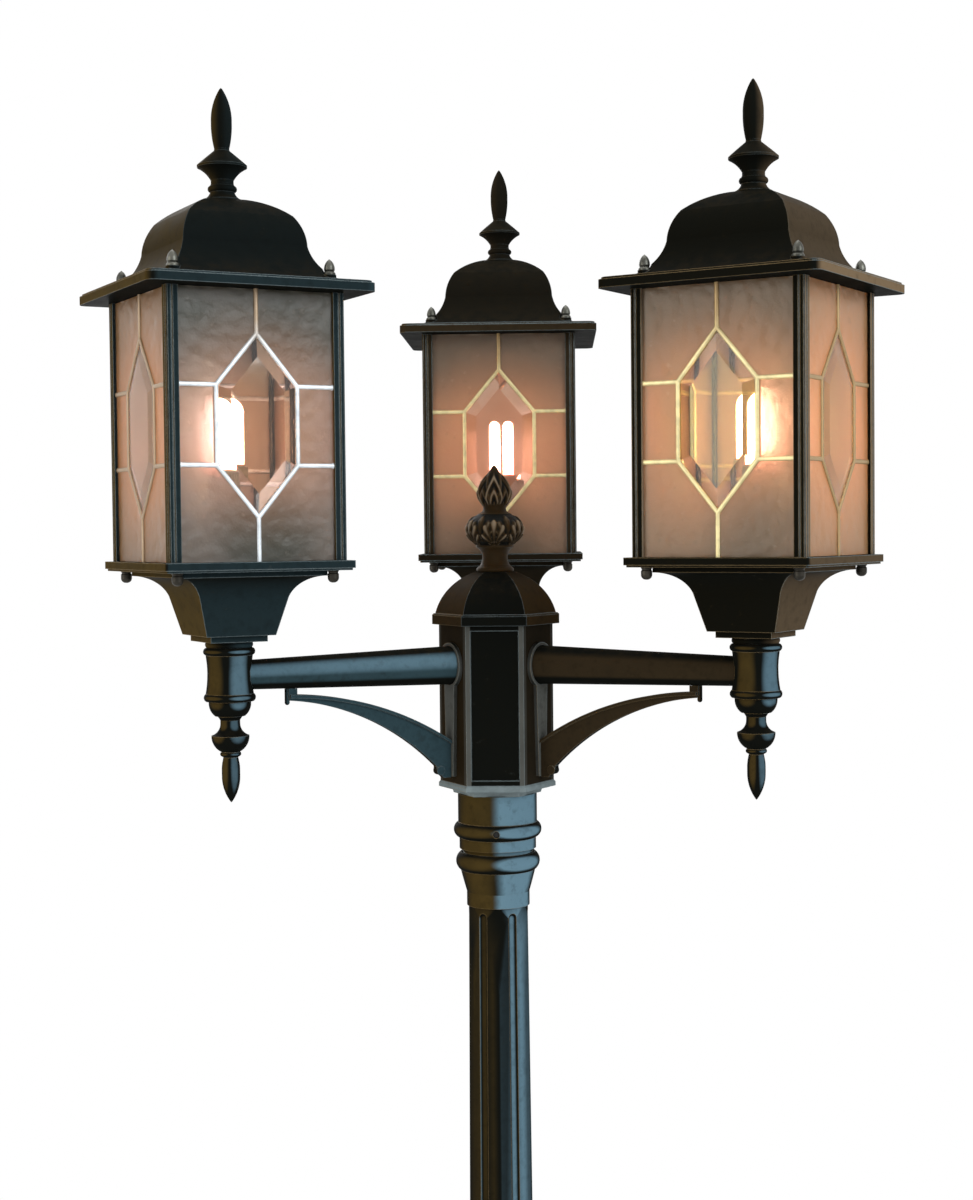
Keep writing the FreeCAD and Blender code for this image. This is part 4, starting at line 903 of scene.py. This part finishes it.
def finial_profile():
    """Radius against height of the finial, in metres from its foot."""
    rough = [(18.0, 0.0), (18.9, 1.0), (19.0, 2.5), (18.2, 4.2), (16.0, 5.6), (14.2, 8.0),
             (13.0, 11.5), (12.6, 15.0), (13.2, 18.5), (14.8, 21.6), (17.0, 23.8), (18.6, 24.6),
             (19.2, 25.2), (19.2, 25.8), (18.6, 26.4), (22.4, 29.2), (25.6, 32.6), (28.0, 37.0),
             (29.1, 42.0), (28.6, 46.4), (26.4, 51.2), (22.6, 55.2), (17.6, 58.0), (14.6, 59.2),
             (12.2, 61.0), (11.3, 63.6), (11.6, 66.0), (13.6, 69.4), (15.9, 73.6), (17.0, 78.2),
             (16.4, 83.0), (14.2, 88.0), (11.0, 93.0), (7.4, 98.4), (4.0, 103.4), (1.6, 106.6),
             (0.4, 107.4)]
    dense = []
    for (r0, z0), (r1, z1) in zip(rough, rough[1:]):
        steps = max(1, int(math.ceil(math.hypot(r1 - r0, z1 - z0) / 0.7)))
        dense += [((r0 + (r1 - r0) * i / steps) * MM, (z0 + (z1 - z0) * i / steps) * MM)
                  for i in range(steps)]
    smooth = dense[:]
    for _ in range(3):
        smooth = ([smooth[0]]
                  + [((a[0] + 2 * b[0] + c[0]) / 4, b[1])
                     for a, b, c in zip(smooth, smooth[1:], smooth[2:])] + [smooth[-1]])
    return smooth + [(0.4 * MM, 107.4 * MM)]


RIB_RADIUS = 0.55 * MM
RIB_HEIGHT = 24.0 * MM
RIB_MIDDLE = LAMP_HIGH.z - 16.0 * MM


# ---- lamps ----
def rib_tree():
    """Upright ribs spaced evenly round a circle."""
    tree, entry = nodes_tree("Ribs", {"Count": "NodeSocketInt", "Radius": "NodeSocketFloat",
                                      "Height": "NodeSocketFloat"})
    add = functools.partial(add_node, tree)
    ring = add("GeometryNodeMeshCircle", {},
               {"Vertices": entry["Count"], "Radius": entry["Radius"]})
    points = add("GeometryNodeMeshToPoints", {}, {"Mesh": ring.outputs[0]})
    rib = add("GeometryNodeMeshCylinder", {},
              {"Vertices": 8, "Radius": RIB_RADIUS, "Depth": entry["Height"]})
    place = add("GeometryNodeInstanceOnPoints", {},
                {"Points": points.outputs[0], "Instance": rib.outputs[0]})
    return close_tree(tree, entry, place)


class LAMPPOST_OT_lamps(bpy.types.Operator):
    """Lit tubes, ribbed plastic bases and porcelain holders"""
    bl_idname = "lamppost.lamps"
    bl_label = "Lamps"

    def execute(self, context):
        lit = lit_tube_finish("lit_tube")
        plastic = plain_finish("lamp_plastic", (0.9, 0.89, 0.86), 0.35)
        # The holders' porcelain is painted dark grey green: painted shade.
        porcelain = plain_finish("porcelain", (0.22, 0.25, 0.23), 0.18, 60.0, 0.2, 0.5)
        tree = rib_tree()
        radius = (LAMP_HIGH.x - LAMP_LOW.x) / 2
        ribs = grown("ribs", bpy.data.meshes.new("start"), tree,
                     {"Count": sizes().rib_count, "Radius": radius, "Height": RIB_HEIGHT},
                     plastic)
        for head in HEAD_ANGLES:
            paint_node(head + "_lamp_tubes", lit)
            paint_node(head + "_lamp_base", plastic)
            paint_node(head + "_lamp_holder", porcelain)
            bm = bmesh.new()
            bm.from_mesh(ribs)
            bmesh.ops.translate(bm, vec=(0, 0, RIB_MIDDLE), verts=bm.verts)
            bmesh.ops.transform(bm, matrix=head_matrix(head), verts=bm.verts)
            piece = new_piece(head + "_lamp_ribs", bm, plastic)
            sharpen(piece, 50)
            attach(piece, head + "_lamp")
        return {"FINISHED"}


# ---- castings and fittings ----
class LAMPPOST_OT_castings(bpy.types.Operator):
    """Antique paint on the cast pieces, with light and shade painted differently on each head"""
    bl_idname = "lamppost.castings"
    bl_label = "Castings"

    def execute(self, context):
        palette = colours()
        front_left, front_right = (-0.55, -0.83, 0.1), (0.58, -0.81, 0.1)
        front, right = (0.0, -1.0, 0.0), (1.0, 0.0, 0.0)
        # Each head's painted light: the tints of its warm-lit and cool-lit sides, the side the
        # cool light is on, and how strong that is on the cage, on the tray and below, and on the
        # roof.
        painted_head_light = {"left": (palette.olive_light, palette.slate_light, right, 0.75, 0.8, 0.15),
                 "right": (palette.black, palette.beige, right, 1.3, 0.5, 0.36),
                 "back": (palette.umber, palette.umber, front, 1.0, 0.5, 0.2)}
        groups = {"cage": ("eave", "cage_posts"), "base": ("tray", "neck_casting"),
                  "roof": ("dome", "finial")}
        for head, (warm, cool, side, *strengths) in painted_head_light.items():
            for (group, parts), strength in zip(groups.items(), strengths):
                warmth, rubbed = (0.55, 0.25) if group == "roof" else (0.9, 1.0)
                paint = antique_paint("%s_%s_paint" % (head, group), warm, cool, warmth, strength,
                                      cool_lit_side=side, rubbed=rubbed)
                for part in parts:
                    paint_node(head + "_" + part, paint)
        # Each arm's painted light: the tint of its lit front, the painted sheen along its upper
        # front, and how far that turns sideways.
        arms = {"left": (palette.slate_light, palette.sky_highlight, 0.62),
                "right": (palette.umber, palette.umber, -0.62),
                "back": (palette.umber, palette.umber, -0.62)}
        for head, (tint, sheen, turn) in arms.items():
            flat = antique_paint(head + "_brace_paint", palette.umber, tint, 0.2, 1.1,
                                 cool_lit_side=(turn, -0.83, 0.1), reach=(0.6, 1.0), rubbed=0.5)
            turned = antique_paint(head + "_arm_paint", tint, sheen, 1.0, 0.75,
                                   (turn, -0.92, 0.0), (turn * 0.9, -0.76, 0.34), (0.84, 1.0))
            paint_node(head + "_brace", flat)
            paint_node(head + "_arm", turned)
        # How strong each turned piece's warm and cool glints are, and how far they reach.
        glints = {"arm_sockets": (0.8, 0.75, 0.86), "drop_finials": (0.8, 0.5, 0.86),
                  "post": (0.5, 0.95, 0.82), "post_head": (0.9, 1.9, 0.7),
                  "base_casting": (0.8, 1.0, 0.8)}
        for node, (warmth, coolness, least) in glints.items():
            turned = antique_paint(node + "_paint", palette.olive_light, palette.sky_highlight, warmth, coolness,
                                   front_left, front_right, (least, 0.985))
            paint_node(node, turned)
        hub = antique_paint("hub_casting", palette.bronze, palette.umber, 0.5, 0.5, framed=True)
        rims = antique_paint("rim_casting", palette.pewter, palette.pewter, 1.1, 1.1)
        cap = antique_paint("cap_casting", palette.bronze, palette.bronze, 0.9, 0.9, rubbed=0.5)
        paint_node("hub", hub)
        paint_node("escutcheons", rims)
        paint_node("hub_cap", cap)
        return {"FINISHED"}


class LAMPPOST_OT_fittings(bpy.types.Operator):
    """Screws, nuts, rods, nipples, wiring and the terminal block"""
    bl_idname = "lamppost.fittings"
    bl_label = "Fittings"

    def execute(self, context):
        dark = steel_finish("dark_steel", (0.16, 0.15, 0.13), 0.38, 0.8)
        black = steel_finish("black_steel", (0.045, 0.045, 0.04), 0.5, 0.3)
        pale = steel_finish("worn_steel", (0.27, 0.27, 0.25), 0.34)
        plated = steel_finish("plated_steel", (0.62, 0.6, 0.52), 0.25)
        rubber = plain_finish("lead_rubber", (0.07, 0.07, 0.07), 0.55)
        ivory = plain_finish("terminal_plastic", (0.82, 0.78, 0.66), 0.4)
        paint_node("set_screws", black)
        for node in ("foot_knobs", "tie_rods"):
            paint_node(node, dark)
        for head in HEAD_ANGLES:
            paint_node(head + "_acorn_nuts", pale)
        paint_node("nipples", plated)
        paint_node("lamp_leads", rubber)
        paint_node("terminal_block", ivory)
        return {"FINISHED"}


# ---- stage ----
# The photograph's camera in metres and radians, with its focus in the picture's own pixels.
CAMERA_PLACE = (0.0589, -1.9176, 1.8839)
CAMERA_YAW = -0.0354
CAMERA_PITCH = -0.03647
CAMERA_ROLL = -0.01002
CAMERA_FOCUS_PIXELS = 1898.82
PICTURE_HEIGHT_PIXELS = 1200.0
SENSOR_HEIGHT = 36.0
PLAIN_LIGHT = 0.55


def add_camera():
    """The photograph's own viewpoint."""
    forward = Vector((math.sin(CAMERA_YAW) * math.cos(CAMERA_PITCH),
                      math.cos(CAMERA_YAW) * math.cos(CAMERA_PITCH), math.sin(CAMERA_PITCH)))
    level = Vector((math.cos(CAMERA_YAW), -math.sin(CAMERA_YAW), 0.0))
    upright = level.cross(forward)
    right = level * math.cos(CAMERA_ROLL) + upright * math.sin(CAMERA_ROLL)
    up = upright * math.cos(CAMERA_ROLL) - level * math.sin(CAMERA_ROLL)
    data = bpy.data.cameras.new("Camera")
    data.sensor_fit = "VERTICAL"
    data.sensor_height = SENSOR_HEIGHT
    data.lens = CAMERA_FOCUS_PIXELS / PICTURE_HEIGHT_PIXELS * SENSOR_HEIGHT
    data.clip_end = 100.0
    camera = placed("Camera", data)
    turn = Matrix((right, up, -forward)).transposed().to_4x4()
    camera.matrix_world = Matrix.Translation(CAMERA_PLACE) @ turn
    bpy.context.scene.camera = camera


def add_softbox(name, place, width, height, power, shade, aim=(0.0, 0.0, 1.7)):
    data = bpy.data.lights.new(name, "AREA")
    data.shape = "RECTANGLE"
    data.size = width
    data.size_y = height
    data.energy = power
    data.color = shade
    light = placed(name, data)
    light.location = place
    toward = Vector(aim) - Vector(place)
    light.rotation_euler = toward.to_track_quat("-Z", "Y").to_euler()


def add_world():
    """White to the eye, in gloss and through glass, and a plain level of light for the rest."""
    world = bpy.data.worlds.new("Studio")
    world.use_nodes = True
    bpy.context.scene.world = world
    world.node_tree.nodes.clear()
    add = functools.partial(add_node, world.node_tree)
    path = add("ShaderNodeLightPath").outputs
    seen = path["Is Camera Ray"]
    for ray in ("Is Glossy Ray", "Is Transmission Ray"):
        seen = add("ShaderNodeMath", {"operation": "MAXIMUM"}, {0: seen, 1: path[ray]}).outputs[0]
    level = add("ShaderNodeMapRange", {},
                {"To Min": PLAIN_LIGHT, "To Max": 1.0, "Value": seen})
    background = add("ShaderNodeBackground", {},
                     {"Color": (1.0, 1.0, 1.0, 1.0), "Strength": level.outputs[0]})
    add("ShaderNodeOutputWorld", {}, {"Surface": background.outputs[0]})


FLOOR_PALE = 0.93574
FLOOR_DARK = 0.92606


def floor_finish():
    """Pale matt floor that fades to plain white towards its rim."""
    paint = Paint("pale_floor")
    place = paint.place()
    grain = paint.noise(60.0, 4.0)
    away = paint.node("ShaderNodeVectorMath", {"operation": "LENGTH"}, {0: place}, output="Value")
    fade = (away / sizes().floor_radius).within(0.45, 0.98)
    tone = paint.blend(grain, (FLOOR_PALE,) * 3, (FLOOR_DARK,) * 3)
    matt = paint.node("ShaderNodeBsdfDiffuse", {}, {"Color": tone})
    white = paint.node("ShaderNodeEmission", {}, {"Strength": 1.0})
    mixed = paint.node("ShaderNodeMixShader", {}, {0: fade, 1: matt, 2: white})
    paint.node("ShaderNodeOutputMaterial", {}, {"Surface": mixed})
    return paint.material


class LAMPPOST_OT_stage(bpy.types.Operator):
    """Camera, soft lights, white surroundings and a pale floor"""
    bl_idname = "lamppost.stage"
    bl_label = "Stage"

    def execute(self, context):
        add_camera()
        add_world()
        add_softbox("Key", (2.6, -2.6, 3.4), 1.6, 2.2, 75.0, (0.92, 0.97, 1.0))
        add_softbox("Fill", (-3.0, -1.8, 2.3), 1.6, 2.6, 42.0, (1.0, 0.95, 0.86))
        add_softbox("Top", (0.0, 0.3, 4.6), 2.4, 2.4, 40.0, (1.0, 1.0, 1.0))
        add_softbox("Rim", (-1.6, 3.0, 2.8), 1.6, 2.4, 45.0, (1.0, 1.0, 1.0))
        bm = bmesh.new()
        bmesh.ops.create_circle(bm, cap_ends=True, segments=96, radius=sizes().floor_radius)
        floor = new_piece("floor", bm, floor_finish(), smooth=False)
        context.scene.view_settings.view_transform = "Standard"
        return {"FINISHED"}


# ---- panel and registration ----
OPERATORS = (
    LAMPPOST_OT_stage,
    LAMPPOST_OT_castings,
    LAMPPOST_OT_fittings,
    LAMPPOST_OT_lead_lines,
    LAMPPOST_OT_hammered_glass,
    LAMPPOST_OT_clear_glass,
    LAMPPOST_OT_hub_finial,
    LAMPPOST_OT_lamps,
)


class LAMPPOST_PT_panel(bpy.types.Panel):
    bl_label = "Lamp Post"
    bl_idname = "LAMPPOST_PT_panel"
    bl_space_type = "VIEW_3D"
    bl_region_type = "UI"
    bl_category = "Lamp Post"

    def draw(self, context):
        column = self.layout.column()
        for operator in OPERATORS:
            column.operator(operator.bl_idname)
        for group in (context.scene.lamp_post_sizes, context.scene.lamp_post_colours):
            box = self.layout.box()
            for name in group.bl_rna.properties.keys():
                if name not in ("rna_type", "name"):
                    box.prop(group, name)


CLASSES = (LampPostSizes, LampPostColours) + OPERATORS + (LAMPPOST_PT_panel,)


def register():
    for item in CLASSES:
        bpy.utils.register_class(item)
    bpy.types.Scene.lamp_post_sizes = PointerProperty(type=LampPostSizes)
    bpy.types.Scene.lamp_post_colours = PointerProperty(type=LampPostColours)


def unregister():
    del bpy.types.Scene.lamp_post_colours
    del bpy.types.Scene.lamp_post_sizes
    for item in reversed(CLASSES):
        bpy.utils.unregister_class(item)


def main():
    register()
    bpy.ops.lamppost.stage()
    bpy.ops.lamppost.castings()
    bpy.ops.lamppost.fittings()
    bpy.ops.lamppost.lead_lines()
    bpy.ops.lamppost.hammered_glass()
    bpy.ops.lamppost.clear_glass()
    bpy.ops.lamppost.hub_finial()
    bpy.ops.lamppost.lamps()


if __name__ == "__main__":
    main()
